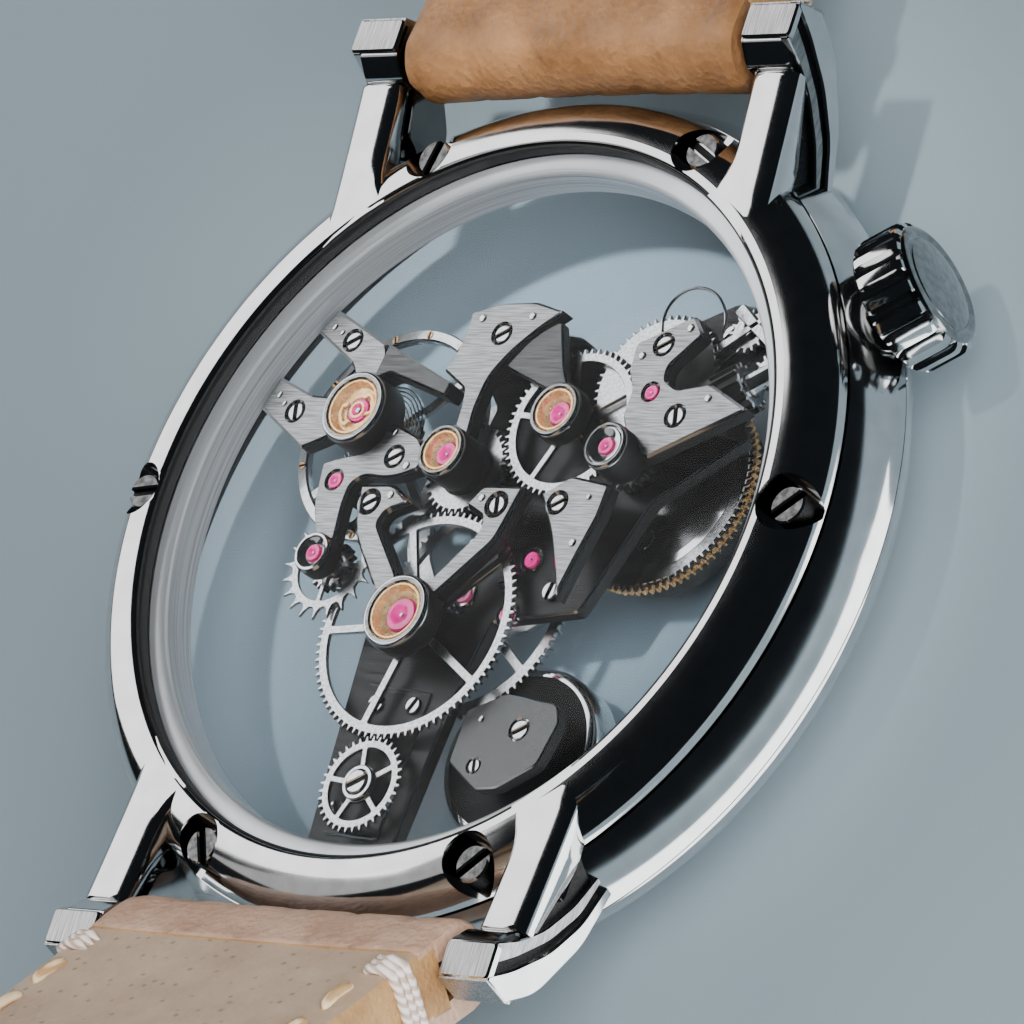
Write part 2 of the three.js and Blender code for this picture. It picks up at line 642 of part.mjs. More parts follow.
// A strap piece: a long box bent along its line; side is -1 at 12 o'clock and 1 at 6 o'clock.
function strapPiece(line, side, pointed) {
  const count = line.length - 1;
  const box = new THREE.BoxGeometry(1, 1, 1, 1, 1, count);
  const place = box.attributes.position;
  for (let i = 0; i < place.count; i += 1) {
    const index = Math.round((place.getZ(i) + 0.5) * count);
    const { out, up, slope, at } = line[index];
    const across = place.getX(i) * widthAt(line, at);
    const normal = place.getY(i) * thickAt(at);
    const tail = pointed ? Math.max(0, at - line[count].at + 6) / 6 : 0;
    const reach = out - normal * Math.sin(slope);
    const narrow = 1 - 0.55 * tail * tail;
    place.setXYZ(i, across * narrow, side * (BAR_Y + reach), BAR_Z + up + normal * Math.cos(slope));
  }
  const roll = solid(crossBar(ROLL_RADIUS, STRAP_WIDTH, side * BAR_Y, BAR_Z));
  const bore = solid(crossBar(BAR_RADIUS + 0.1, STRAP_WIDTH + 4, side * BAR_Y, BAR_Z));
  return solid(box).add(roll).subtract(bore);
}

// Stands a geometry drawn at the origin on the strap's line: its Y runs along the strap.
function onStrap(geometry, line, side, at, lift = 0) {
  const index = line.findIndex((point) => point.at >= at);
  const [before, after] = [line[index - 1], line[index]];
  const share = (at - before.at) / (after.at - before.at);
  const mix = (key) => THREE.MathUtils.lerp(before[key], after[key], share);
  const slope = mix("slope");
  const reach = mix("out") - lift * Math.sin(slope);
  geometry.rotateX(slope);
  if (side < 0) geometry.rotateZ(Math.PI);
  return geometry.translate(0, side * (BAR_Y + reach), BAR_Z + mix("up") + lift * Math.cos(slope));
}

// A rectangular frame of square bars round the origin, open along Y.
function loopFrame(width, height, bar, length) {
  const shape = outline([
    [-width / 2 - bar, -height / 2 - bar], [width / 2 + bar, -height / 2 - bar],
    [width / 2 + bar, height / 2 + bar], [-width / 2 - bar, height / 2 + bar],
  ]);
  const inside = [[-width, -height], [-width, height], [width, height], [width, -height]];
  shape.holes.push(new THREE.Path(inside.map(([x, y]) => new THREE.Vector2(x / 2, y / 2))));
  const geometry = new THREE.ExtrudeGeometry(shape, { depth: length, bevelEnabled: false });
  return geometry.translate(0, 0, -length / 2).rotateX(-Math.PI / 2);
}

// The buckle's bar stands in the middle of the short piece's end roll.
const atBuckle = (geometry) => solid(onStrap(geometry, SHORT_LINE, -1, SHORT_LENGTH));

function shortPiece() {
  const body = strapPiece(SHORT_LINE, -1, false).add(atBuckle(crossBar(1.6, STRAP_END_WIDTH)));
  const slot = new THREE.BoxGeometry(2.4, 8.4, 8).translate(0, -1.6, 0);
  return carve(body, [atBuckle(crossBar(0.85, 20)), atBuckle(slot)]);
}

function buildStrap() {
  const holes = Array.from({ length: 7 }, (_, i) => {
    const hole = new THREE.CylinderGeometry(0.8, 0.8, 8, 8).rotateX(Math.PI / 2);
    return solid(onStrap(hole, LONG_LINE, 1, LONG_LENGTH - 22 - 7 * i));
  });
  add("strap_long", carve(strapPiece(LONG_LINE, 1, true), holes), LEATHER);
  add("strap_short", shortPiece(), LEATHER);
  for (const [name, at] of [["keeper_fixed", 64], ["keeper_loose", 50]]) {
    const loop = loopFrame(widthAt(SHORT_LINE, at) + 0.7, 6.2, 0.9, 4.5);
    add(name, solid(onStrap(loop, SHORT_LINE, -1, at, -1.6)), LEATHER);
  }
  buildBuckle();
}

function buildBuckle() {
  add("buckle_bar", atBuckle(crossBar(0.75, 18.6)).add(atBuckle(crossBar(PIVOT_RADIUS, 20.4))), STEEL);
  const frame = new THREE.Shape().moveTo(-11, -1.2).lineTo(-11, 10.6).quadraticCurveTo(0, 13.6, 11, 10.6);
  frame.lineTo(11, -1.2).lineTo(9.4, -1.2).lineTo(9.4, 8.8).quadraticCurveTo(0, 11.4, -9.4, 8.8);
  frame.lineTo(-9.4, -1.2);
  const bent = new THREE.ExtrudeGeometry(frame, { depth: 1.8, bevelEnabled: false, curveSegments: 8 });
  const pivotHole = atBuckle(crossBar(PIVOT_RADIUS + 0.05, 20.6));
  add("buckle_frame", atBuckle(bent.translate(0, 0, -0.9)).subtract(pivotHole), POLISHED);
  const blade = new THREE.BoxGeometry(1.8, 12.0, 0.9).translate(0, 6.6, -1.45);
  const eye = atBuckle(crossBar(1.6, 1.8));
  add("buckle_tongue", atBuckle(blade).add(eye).subtract(atBuckle(crossBar(0.82, 4))), POLISHED);
}

buildCase();
buildCrown();
buildTrain();
buildMovement();
buildDisplay();
buildStrap();

export default watch;
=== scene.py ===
# Wristwatch seen from its open back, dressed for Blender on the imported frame. All shapes are in mm here.
import math
import bpy
import bmesh
from mathutils import Matrix, Vector
from mathutils.geometry import tessellate_polygon


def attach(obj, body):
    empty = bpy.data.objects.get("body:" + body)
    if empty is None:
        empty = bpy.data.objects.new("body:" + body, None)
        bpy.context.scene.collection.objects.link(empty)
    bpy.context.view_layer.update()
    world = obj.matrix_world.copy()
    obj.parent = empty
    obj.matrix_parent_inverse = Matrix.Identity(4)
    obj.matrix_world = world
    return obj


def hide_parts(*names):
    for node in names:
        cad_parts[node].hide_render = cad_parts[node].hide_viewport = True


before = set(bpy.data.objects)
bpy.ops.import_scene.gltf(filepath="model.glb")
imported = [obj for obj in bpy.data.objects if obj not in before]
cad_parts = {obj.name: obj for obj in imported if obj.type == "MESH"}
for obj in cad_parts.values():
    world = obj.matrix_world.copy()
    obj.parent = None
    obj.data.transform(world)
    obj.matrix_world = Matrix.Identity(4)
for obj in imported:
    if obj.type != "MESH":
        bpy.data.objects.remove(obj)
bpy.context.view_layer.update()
MM = 0.001
TURN = 2 * math.pi
CURVE_STEPS = 6


# ---- Mesh building ----

class Build:
    """Vertices, faces and a material number for each face, gathered before they become one piece."""

    def __init__(self):
        self.verts = []
        self.faces = []
        self.mats = []

    def add(self, verts, faces, mat=0):
        base = len(self.verts)
        self.verts += [tuple(v) for v in verts]
        self.faces += [[base + i for i in face] for face in faces]
        self.mats += mat if isinstance(mat, list) else [mat] * len(faces)
        return self

    def merge(self, other, move=None, mat=None):
        verts = [move(v) for v in other.verts] if move else other.verts
        return self.add(verts, other.faces, other.mats if mat is None else mat)


def mesh_object(name, build, materials, sharp=35):
    mesh = bpy.data.meshes.new(name)
    mesh.from_pydata([(x * MM, y * MM, z * MM) for x, y, z in build.verts], [], build.faces)
    for material in materials:
        mesh.materials.append(material)
    mesh.polygons.foreach_set("material_index", build.mats)
    work = bmesh.new()
    work.from_mesh(mesh)
    bmesh.ops.recalc_face_normals(work, faces=work.faces)
    work.to_mesh(mesh)
    work.free()
    mesh.shade_smooth()
    mesh.set_sharp_from_angle(angle=math.radians(sharp))
    made = bpy.data.objects.new(name, mesh)
    bpy.context.scene.collection.objects.link(made)
    return made


def piece(name, build, materials, body, stands_for=(), sharp=35, cutters=()):
    """One finished piece that rides on a CAD body."""
    made = mesh_object(name, build, materials, sharp)
    if cutters:
        carve(made, cutters, sharp)
    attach(made, body)
    if stands_for:
        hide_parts(*stands_for)
    return made


def carve(made, cutters, sharp):
    """Cuts solids out of a mesh and keeps the result."""
    tools = [mesh_object(made.name + "_cut", cutter, []) for cutter in cutters]
    for tool in tools:
        cut = made.modifiers.new("cut", "BOOLEAN")
        cut.operation = "DIFFERENCE"
        cut.solver = "EXACT"
        cut.object = tool
    shown = made.evaluated_get(bpy.context.evaluated_depsgraph_get())
    made.data = bpy.data.meshes.new_from_object(shown)
    made.modifiers.clear()
    made.data.shade_smooth()
    made.data.set_sharp_from_angle(angle=math.radians(sharp))
    for tool in tools:
        bpy.data.objects.remove(tool)


def circle(x, y, radius, count=32):
    steps = [TURN * i / count for i in range(count)]
    return [(x + radius * math.cos(a), y + radius * math.sin(a)) for a in steps]


def rounded(points, radius=0.25, steps=4):
    """A closed outline with each corner rounded; a point may carry its own radius."""
    result = []
    count = len(points)
    for i, point in enumerate(points):
        here = Vector(point[:2])
        before = Vector(points[i - 1][:2]) - here
        after = Vector(points[(i + 1) % count][:2]) - here
        wanted = point[2] if len(point) > 2 else radius
        reach = min(wanted, 0.45 * before.length, 0.45 * after.length)
        a, b = here + before.normalized() * reach, here + after.normalized() * reach
        if reach < 0.02:
            result.append(tuple(here))
            continue
        for k in range(steps + 1):
            t = k / steps
            spot = a * (1 - t) ** 2 + here * 2 * t * (1 - t) + b * t ** 2
            result.append(tuple(spot))
    return result


def area(outline):
    pairs = zip(outline, outline[1:] + outline[:1])
    return sum(a[0] * b[1] - b[0] * a[1] for a, b in pairs) / 2


def inset(outline, distance):
    """The outline moved inwards by a distance; its points turn anticlockwise."""
    moved = []
    count = len(outline)
    for i in range(count):
        here = Vector(outline[i])
        before = (here - Vector(outline[i - 1])).normalized()
        after = (Vector(outline[(i + 1) % count]) - here).normalized()
        normal = Vector((-before.y - after.y, before.x + after.x))
        if normal.length < 1e-6:
            normal = Vector((-before.y, before.x))
        normal.normalize()
        lean = max(0.5, normal.dot(Vector((-before.y, before.x))))
        moved.append(tuple(here + normal * distance / lean))
    return moved


def cap(loops, z):
    """Flat triangles over an outline and its holes."""
    points = [[Vector((x, y, 0)) for x, y in loop] for loop in loops]
    flat = [(p.x, p.y, z) for loop in points for p in loop]
    return flat, [list(t) for t in tessellate_polygon(points)]


def prism(outline, z0, z1, holes=(), bevel=0.08, mats=(0, 1, 2)):
    """A plate with a chamfered top edge: its top, chamfer and sides take three materials."""
    build = Build()
    outline = outline if area(outline) > 0 else outline[::-1]
    holes = [hole if area(hole) < 0 else hole[::-1] for hole in holes]
    loops = [outline] + holes
    tops = [inset(loop, bevel) for loop in loops]
    build.add(*cap(tops, z1), mats[0])
    build.add(*cap(loops, z0), mats[2])
    for loop, top in zip(loops, tops):
        count = len(loop)
        rings = [(loop, z0), (loop, z1 - bevel), (top, z1)]
        verts = [(x, y, z) for ring, z in rings for x, y in ring]
        for level, mat in ((0, mats[2]), (1, mats[1])):
            quads = []
            for i in range(count):
                j = (i + 1) % count
                low, high = level * count, (level + 1) * count
                quads.append([low + i, low + j, high + j, high + i])
            build.add(verts, quads, mat)
    return weld(build)


def weld(build, places=5):
    """Joins vertices that share a place."""
    seen, keep, index = {}, [], []
    for v in build.verts:
        key = tuple(round(c, places) for c in v)
        if key not in seen:
            seen[key] = len(keep)
            keep.append(v)
        index.append(seen[key])
    result = Build()
    result.verts = keep
    for face, mat in zip(build.faces, build.mats):
        loop = []
        for i in face:
            if index[i] not in loop:
                loop.append(index[i])
        if len(loop) > 2:
            result.faces.append(loop)
            result.mats.append(mat)
    return result


def lathe(profile, x=0.0, y=0.0, segments=48, mats=0):
    """Turns a profile of (radius, height) round a vertical axis; mats may name one material a step."""
    build = Build()
    count = len(profile)
    for k in range(segments):
        a = TURN * k / segments
        build.verts += [(x + r * math.cos(a), y + r * math.sin(a), z) for r, z in profile]
    for k in range(segments):
        base, after = k * count, ((k + 1) % segments) * count
        for i in range(count):
            j = (i + 1) % count
            build.faces.append([base + i, after + i, after + j, base + j])
            build.mats.append(mats[i] if isinstance(mats, (list, tuple)) else mats)
    return weld(build)


def smooth_profile(points):
    """A Catmull-Rom curve through the points of an open profile."""
    result = []
    padded = [points[0]] + list(points) + [points[-1]]
    for a, b, c, d in zip(padded, padded[1:], padded[2:], padded[3:]):
        for k in range(CURVE_STEPS):
            t = k / CURVE_STEPS
            spot = []
            for i in range(2):
                spot.append(0.5 * (2 * b[i] + (c[i] - a[i]) * t
                                   + (2 * a[i] - 5 * b[i] + 4 * c[i] - d[i]) * t * t
                                   + (3 * b[i] - a[i] - 3 * c[i] + d[i]) * t ** 3))
            result.append(tuple(spot))
    return result + [points[-1]]


def grid(rows, close_rows=False, mat=0):
    """Faces between rows of points, each row an open or closed loop."""
    build = Build()
    count = len(rows[0])
    for row in rows:
        build.verts += [tuple(p) for p in row]
    last = count if close_rows else count - 1
    for r in range(len(rows) - 1):
        for i in range(last):
            j = (i + 1) % count
            build.faces.append([r * count + i, r * count + j, (r + 1) * count + j, (r + 1) * count + i])
            build.mats.append(mat(r, i) if callable(mat) else mat)
    return build


def loft(rows, mat=0):
    """A closed skin over rows that are closed loops, with both ends capped."""
    build = grid(rows, True, mat)
    count = len(rows[0])
    first = mat(0, 0) if callable(mat) else mat
    build.faces.append(list(range(count))[::-1])
    build.faces.append([len(build.verts) - count + i for i in range(count)])
    build.mats += [first, first]
    return build


def turned_outline(points, x, y, angle):
    """An outline turned about its origin and moved to a place."""
    c, s = math.cos(angle), math.sin(angle)
    return [(x + u * c - v * s, y + u * s + v * c) for u, v in points]


def screw(x, y, radius, z0, z1, turn=0.0, slot=0.3, deep=0.25, mats=(0, 1, 2)):
    """A flat screw head: two bevelled halves with the slot between them, on a round base. The third material
    colours the base and the slot floor; callers pass a near-black painted as the shade in the slot and in
    the gap round the head.
    """
    build = lathe([(0, z0), (radius, z0), (radius, z1 - deep), (0, z1 - deep)], x, y, 32, mats[2])
    half = slot * radius / 2 + 0.02
    start = math.asin(half / radius)
    arc = [start + (math.pi - 2 * start) * k / 16 for k in range(17)]
    side = [(radius * math.cos(a), radius * math.sin(a)) for a in arc]
    for flip in (0, math.pi):
        outline = turned_outline(side, x, y, turn + flip)
        build.merge(prism(outline, z1 - deep - 0.02, z1, bevel=0.1 * radius, mats=mats))
    return build


def dome(x, y, radius, z0, z1, mats=0, segments=24):
    """A round pin with a softly polished end."""
    soft = 0.3 * radius
    return lathe([(0, z0), (radius, z0), (radius, z1 - soft), (0.8 * radius, z1 - 0.25 * soft),
                  (0.45 * radius, z1), (0, z1 + 0.05 * soft)], x, y, segments, mats)


# ---- Materials ----

def new_material(name):
    material = bpy.data.materials.new(name)
    material.use_nodes = True
    nodes, links = material.node_tree.nodes, material.node_tree.links
    return material, nodes, links, nodes["Principled BSDF"]


def coordinates(nodes, links, scale, turn=0.0):
    place = nodes.new("ShaderNodeTexCoord")
    mapping = nodes.new("ShaderNodeMapping")
    mapping.inputs["Scale"].default_value = scale
    mapping.inputs["Rotation"].default_value = (0, 0, turn)
    links.new(place.outputs["Object"], mapping.inputs["Vector"])
    return mapping.outputs["Vector"]


def noise(nodes, links, vector, scale=1.0, detail=3.0, rough=0.5):
    made = nodes.new("ShaderNodeTexNoise")
    made.inputs["Scale"].default_value = scale
    made.inputs["Detail"].default_value = detail
    made.inputs["Roughness"].default_value = rough
    links.new(vector, made.inputs["Vector"])
    return made.outputs["Fac"]


def between(nodes, links, fac, low, high):
    made = nodes.new("ShaderNodeMapRange")
    made.inputs["To Min"].default_value = low
    made.inputs["To Max"].default_value = high
    links.new(fac, made.inputs["Value"])
    return made.outputs["Result"]


def ramp(nodes, links, fac, stops):
    made = nodes.new("ShaderNodeValToRGB")
    line = made.color_ramp.elements
    while len(line) < len(stops):
        line.new(0.5)
    for element, (at, colour) in zip(line, stops):
        element.position = at
        element.color = (*colour, 1)
    links.new(fac, made.inputs["Fac"])
    return made.outputs["Color"]


def bump(nodes, links, shader, height, strength, distance):
    made = nodes.new("ShaderNodeBump")
    made.inputs["Strength"].default_value = strength
    made.inputs["Distance"].default_value = distance
    links.new(height, made.inputs["Height"])
    links.new(made.outputs["Normal"], shader.inputs["Normal"])


def grey(value):
    return (value, value, value)


def metal(name, dark, light, rough, scale, strength=0.1, turn=0.0, spread=0.06, detail=3.0):
    """A metal whose tone, gloss and relief follow one stretched noise."""
    material, nodes, links, shader = new_material(name)
    grain = noise(nodes, links, coordinates(nodes, links, scale, turn), detail=detail)
    tone = ramp(nodes, links, grain, [(0.36, dark), (0.64, light)])
    links.new(tone, shader.inputs["Base Color"])
    gloss = between(nodes, links, grain, rough, rough + spread)
    links.new(gloss, shader.inputs["Roughness"])
    bump(nodes, links, shader, grain, strength, 0.00002)
    shader.inputs["Metallic"].default_value = 1.0
    return material


def polished_platinum():
    return metal("polished_platinum", grey(0.66), grey(0.74), 0.08, (900, 900, 900), 0.02, spread=0.04)


def brushed(name, low, high, scale, turn=0.0):
    return metal(name, grey(low), grey(high), 0.22, scale, 0.8, turn, spread=0.2, detail=5)


def sandblasted(name="sandblasted", low=0.06, high=0.13):
    return metal(name, grey(low), grey(high), 0.45, (16000, 16000, 16000), 0.15, spread=0.15, detail=2)


def crystal_glass(name, strength):
    """Thin coated sapphire: clear, with a faint reflection that grows at grazing angles."""
    material, nodes, links, shader = new_material(name)
    nodes.remove(shader)
    clear = nodes.new("ShaderNodeBsdfTransparent")
    clear.inputs["Color"].default_value = (0.98, 0.99, 1.0, 1)
    shine = nodes.new("ShaderNodeBsdfGlossy")
    smear = noise(nodes, links, coordinates(nodes, links, (300, 300, 300)))
    links.new(between(nodes, links, smear, 0.01, 0.03), shine.inputs["Roughness"])
    facing = nodes.new("ShaderNodeLayerWeight")
    facing.inputs["Blend"].default_value = 0.5
    share = nodes.new("ShaderNodeMath")
    share.operation = "MULTIPLY"
    share.inputs[1].default_value = strength
    links.new(facing.outputs["Facing"], share.inputs[0])
    mix = nodes.new("ShaderNodeMixShader")
    links.new(share.outputs["Value"], mix.inputs["Fac"])
    links.new(clear.outputs["BSDF"], mix.inputs[1])
    links.new(shine.outputs["BSDF"], mix.inputs[2])
    links.new(mix.outputs["Shader"], nodes["Material Output"].inputs["Surface"])
    return material


def ruby(name, low, high):
    material, nodes, links, shader = new_material(name)
    cloud = noise(nodes, links, coordinates(nodes, links, (2500, 2500, 2500)))
    links.new(ramp(nodes, links, cloud, [(0.3, low), (0.7, high)]), shader.inputs["Base Color"])
    shader.inputs["Roughness"].default_value = 0.06
    shader.inputs["Coat Weight"].default_value = 0.8
    shader.inputs["Coat Roughness"].default_value = 0.02
    return material


def rubber_black():
    material, nodes, links, shader = new_material("gasket_black")
    grain = noise(nodes, links, coordinates(nodes, links, (9000, 9000, 9000)))
    links.new(ramp(nodes, links, grain, [(0.3, grey(0.006)), (0.7, grey(0.016))]),
              shader.inputs["Base Color"])
    links.new(between(nodes, links, grain, 0.4, 0.6), shader.inputs["Roughness"])
    return material


POLISHED = polished_platinum()
BRUSHED_CAP = brushed("brushed_cap", 0.3, 0.62, (14000, 500, 14000))
CROWN_FACE = metal("crown_face", grey(0.30), grey(0.42), 0.16, (2600, 2600, 2600), 0.08)
BRUSHED_FLANK = brushed("brushed_flank", 0.22, 0.42, (9000, 1500, 12000))
BRUSHED_WALL = brushed("brushed_wall", 0.4, 0.68, (90, 90, 15000))
BRUSHED_WALL.node_tree.nodes["Principled BSDF"].inputs["Metallic"].default_value = 0.75
BRIDGE_TOP = brushed("bridge_brushed", 0.22, 0.52, (700, 16000, 700), -0.25)
BRIDGE_EDGE = metal("bridge_bevel", grey(0.72), grey(0.85), 0.07, (800, 800, 800), 0.02)
# Sides of bridges, wheels and plates: a matte blasted finish, with its very dark tone painted as shade on
# the sides.
SIDE_SHADE = sandblasted("blasted_side_painted_shade", 0.05, 0.12)
# Painted shade: the ring screws' heads get a dark grey that stands in for the shade on their sunk, tilted
# heads.
SCREW_HEAD_SHADE = metal("screw_head_painted_shade", grey(0.06), grey(0.16), 0.16, (3000, 3000, 3000), 0.1)
BLASTED = sandblasted("sandblasted_recess", 0.16, 0.28)
DARK_PLATE = metal("dark_plate_brushed", grey(0.016), grey(0.05), 0.3, (600, 14000, 600), 0.3, 0.3)
# Painted shade: a near-black matte metal put where only shade falls. It covers screw sides, bases and slot
# floors, the gaps round screws, undersides and hidden caps, and the gaps between the lug's bands.
SHADE_BLACK = sandblasted("painted_shade_black", 0.02, 0.05)
SCREW_TOP = metal("screw_polished", grey(0.6), grey(0.78), 0.1, (3000, 3000, 3000), 0.05)
WHEEL_TOP = metal("wheel_steel", grey(0.55), grey(0.72), 0.2, (7000, 7000, 7000), 0.12, detail=4)
GOLD = metal("gold_cup", (0.80, 0.44, 0.17), (1.0, 0.66, 0.34), 0.24, (4000, 4000, 4000), 0.08)
GOLD.node_tree.nodes["Principled BSDF"].inputs["Metallic"].default_value = 0.8
RUBY = ruby("ruby_edge", (0.14, 0.001, 0.025), (0.30, 0.003, 0.07))
# Painted light: a lighter copy of the ruby, painted as the lit centre of each jewel.
RUBY_LIT = ruby("ruby_centre_painted_light", (0.36, 0.004, 0.11), (0.6, 0.015, 0.2))
GASKET = rubber_black()
BACK_GLASS = crystal_glass("back_crystal_glass", 0.022)
FRONT_GLASS = crystal_glass("front_crystal_glass", 0.04)


# ---- Camera, floor and light ----

VIEW = Vector((-0.65338, 0.31749, -0.68723))
RIGHT = Vector((0.75684, 0.29440, -0.58355))
UP = Vector((-0.01705, 0.90140, 0.43265))


def set_camera():
    lens = bpy.data.cameras.new("camera")
    lens.lens = 231.17
    lens.sensor_width = 36.0
    lens.clip_start = 0.01
    camera = bpy.data.objects.new("camera", lens)
    turn = Matrix((RIGHT, UP, -VIEW)).transposed().to_4x4()
    camera.matrix_world = Matrix.Translation((0.190062, -0.091191, 0.204675)) @ turn
    bpy.context.scene.collection.objects.link(camera)
    bpy.context.scene.camera = camera


def softbox(name, direction, distance, width, height, power, colour=(1, 1, 1), seen=True):
    light = bpy.data.lights.new(name, "AREA")
    light.shape = "RECTANGLE"
    light.size, light.size_y = width, height
    light.energy = power
    light.color = colour
    made = bpy.data.objects.new(name, light)
    aim = Vector(direction).normalized()
    made.location = aim * distance
    made.rotation_euler = aim.to_track_quat("Z", "Y").to_euler()
    made.visible_glossy = seen
    bpy.context.scene.collection.objects.link(made)
    return made


def set_light():
    softbox("key_left", (-0.797, 0.29, 0.53), 0.5, 0.34, 0.5, 1.25)
    softbox("low_left", (-0.64, -0.28, 0.72), 0.5, 0.2, 0.3, 0.1)
    softbox("fill_front", (0.75, -0.55, 0.45), 0.6, 0.3, 0.3, 3.2, (0.96, 0.98, 1.0), seen=False)
    softbox("top_fill", (0.7, -0.1, 0.7), 0.42, 0.3, 0.3, 2.6, (0.93, 0.97, 1.0), seen=False)
    card = softbox("bezel_card", (0.86, -0.5, 0.01), 0.031, 0.06, 0.016, 0.010)
    card.rotation_euler = (math.pi, 0, math.radians(60))
    card.visible_diffuse = False
    card.visible_camera = False
    glow = bpy.data.lights.new("inner_glow", "SPOT")
    glow.energy = 16.0
    glow.spot_size = math.radians(6)
    glow.spot_blend = 0.8
    glow.shadow_soft_size = 0.02
    lamp = bpy.data.objects.new("inner_glow", glow)
    lamp.location = (0.02, -0.01, 0.3)
    aim = Vector((-0.005, 0.010, 0)) - lamp.location
    lamp.rotation_euler = aim.to_track_quat("-Z", "Y").to_euler()
    lamp.visible_glossy = False
    bpy.context.scene.collection.objects.link(lamp)
    sky = bpy.data.lights.new("even_sky", "SUN")
    sky.energy = 0.4
    sky.angle = math.radians(70)
    dome_light = bpy.data.objects.new("even_sky", sky)
    dome_light.rotation_euler = Vector((0.4, -0.3, 0.85)).to_track_quat("Z", "Y").to_euler()
    dome_light.visible_glossy = False
    bpy.context.scene.collection.objects.link(dome_light)
    world = bpy.data.worlds.new("studio")
    world.use_nodes = True
    back = world.node_tree.nodes["Background"]
    back.inputs["Color"].default_value = (0.010, 0.012, 0.014, 1)
    back.inputs["Strength"].default_value = 1.0
    bpy.context.scene.world = world


def set_floor():
    bpy.ops.mesh.primitive_plane_add(size=24.0, location=(0, 0, -0.00002))
    floor = bpy.context.object
    floor.name = "floor"
    material, nodes, links, shader = new_material("pale_floor")
    cloud = noise(nodes, links, coordinates(nodes, links, (3, 3, 3)))
    tone = ramp(nodes, links, cloud, [(0.2, (0.20, 0.255, 0.285)), (0.8, (0.23, 0.285, 0.315))])
    links.new(tone, shader.inputs["Base Color"])
    shader.inputs["Roughness"].default_value = 0.9
    floor.data.materials.append(material)


# ---- Case ----

RING_IN = 17.3
SCREW_CIRCLE = 18.72
SCREW_DEGREES = (0, 65.24, 114.76, 180, 245.24, 294.76)
RING_TURN = ((20.0, 7.66), (19.86, 8.08), (19.5, 8.55), (18.9, 8.95), (18.3, 9.13), (17.75, 9.22))


def ring_height(radius):
    """The height of the ring's domed top at a radius."""
    line = sorted(RING_TURN)
    if radius <= line[0][0]:
        return line[0][1]
    for (r0, z0), (r1, z1) in zip(line, line[1:]):
        if radius <= r1:
            return z0 + (z1 - z0) * (radius - r0) / (r1 - r0)
    return line[-1][1] - 0.3


def corner(build, sx, sy):
    """A copy of a +X, +Y corner part for another corner."""
    return Build().merge(build, lambda v: (sx * v[0], sy * v[1], v[2]))


CORNERS = ((1, 1), (1, -1), (-1, 1), (-1, -1))


def leg():
    """One leg of the ring: a flat top that rises to its tip, a soft foot on the inside, a steep outside."""
    rows = []
    for k in range(33):
        t = k / 32
        y = 12.2 + (20.25 - 12.2) * t
        flare = max(0.0, 1 - t / 0.62) ** 2
        inner = 10.3 - 1.9 * flare
        outer = 12.8 - 0.05 * (1 - t)
        top = 9.2 + 0.63 * max(0.0, (t - 0.25) / 0.75) ** 1.15 - 0.04 * flare
        low = 7.65 if t < 0.5 else 7.65 + 1.35 * ((t - 0.5) / 0.5) ** 0.8
        foot = max(low + 0.15, min(top - 0.02, ring_height(math.hypot(inner, y)) - 0.04))
        if math.hypot(inner, y) > 20:
            foot = low + 0.15
        drop = top - foot
        soft = min(0.35, 0.5 * drop)
        row = [(inner - 0.3 * min(1, flare * 3) - 0.02, foot)]
        row += [(inner - 0.02, foot + 0.35 * drop), (inner, top - soft), (inner + 0.12, top - 0.28 * soft)]
        row += [(inner + 0.32, top), (inner + 0.9, top + 0.03), (outer - 0.9, top + 0.02)]
        row += [(outer - 0.42, top - 0.03), (outer - 0.17, top - 0.13), (outer - 0.03, top - 0.32)]
        row += [(outer, top - 0.6), (outer, low + 0.1), (outer - 0.1, low), (inner + 0.1, low)]
        rows.append([(x, y, z) for x, z in row])
    tip = [(11.54 + (x - 11.54) * 0.9, y + 0.06, z - 0.05 if z > 9 else z) for x, y, z in rows[-1]]
    return loft(rows + [tip])


def back_ring():
    top = smooth_profile(RING_TURN)
    profile = [(RING_IN, 7.6), (19.97, 7.6)] + top + [(17.45, 9.2), (17.34, 9.12), (RING_IN, 9.0)]
    build = lathe(profile, segments=288)
    cutters = []
    for degrees in SCREW_DEGREES:
        a = math.radians(degrees)
        x, y = SCREW_CIRCLE * math.cos(a), SCREW_CIRCLE * math.sin(a)
        cutters.append(lathe([(0, 7.7), (1.28, 7.7), (1.3, 10), (0, 10)], x, y, 48))
    piece("back_ring_body", build, [POLISHED], "case", ["back_ring"], 40, cutters)
    legs = Build()
    for sx, sy in CORNERS:
        legs.merge(corner(leg(), sx, sy))
    bore = lathe([(0, 6), (RING_IN, 6), (RING_IN, 10.5), (0, 10.5)], segments=288)
    piece("back_ring_legs", legs, [POLISHED], "case", ["back_ring"], 50, [bore] + cutters)


def ring_screws():
    for i, degrees in enumerate(SCREW_DEGREES):
        a = math.radians(degrees)
        x, y = SCREW_CIRCLE * math.cos(a), SCREW_CIRCLE * math.sin(a)
        name = "ring_screw_%d" % (i + 1)
        build = screw(x, y, 0.88, 7.64, 8.7, 0.7 + 1.9 * i, 0.32, 0.3)
        # The heads take the dark grey painted as shade; their sides, base and slot floor take the near-black
        # painted as shade.
        piece(name + "_head", build, [SCREW_HEAD_SHADE, POLISHED, SHADE_BLACK], "case", [name])


def side_prism(profile, x0, x1, bevel, mats):
    """A profile in the Y-Z plane, drawn out along X and chamfered on its outer face."""
    flat = prism(profile, x0, x1, bevel=bevel, mats=mats)
    return Build().merge(flat, lambda v: (v[2], v[0], v[1]))


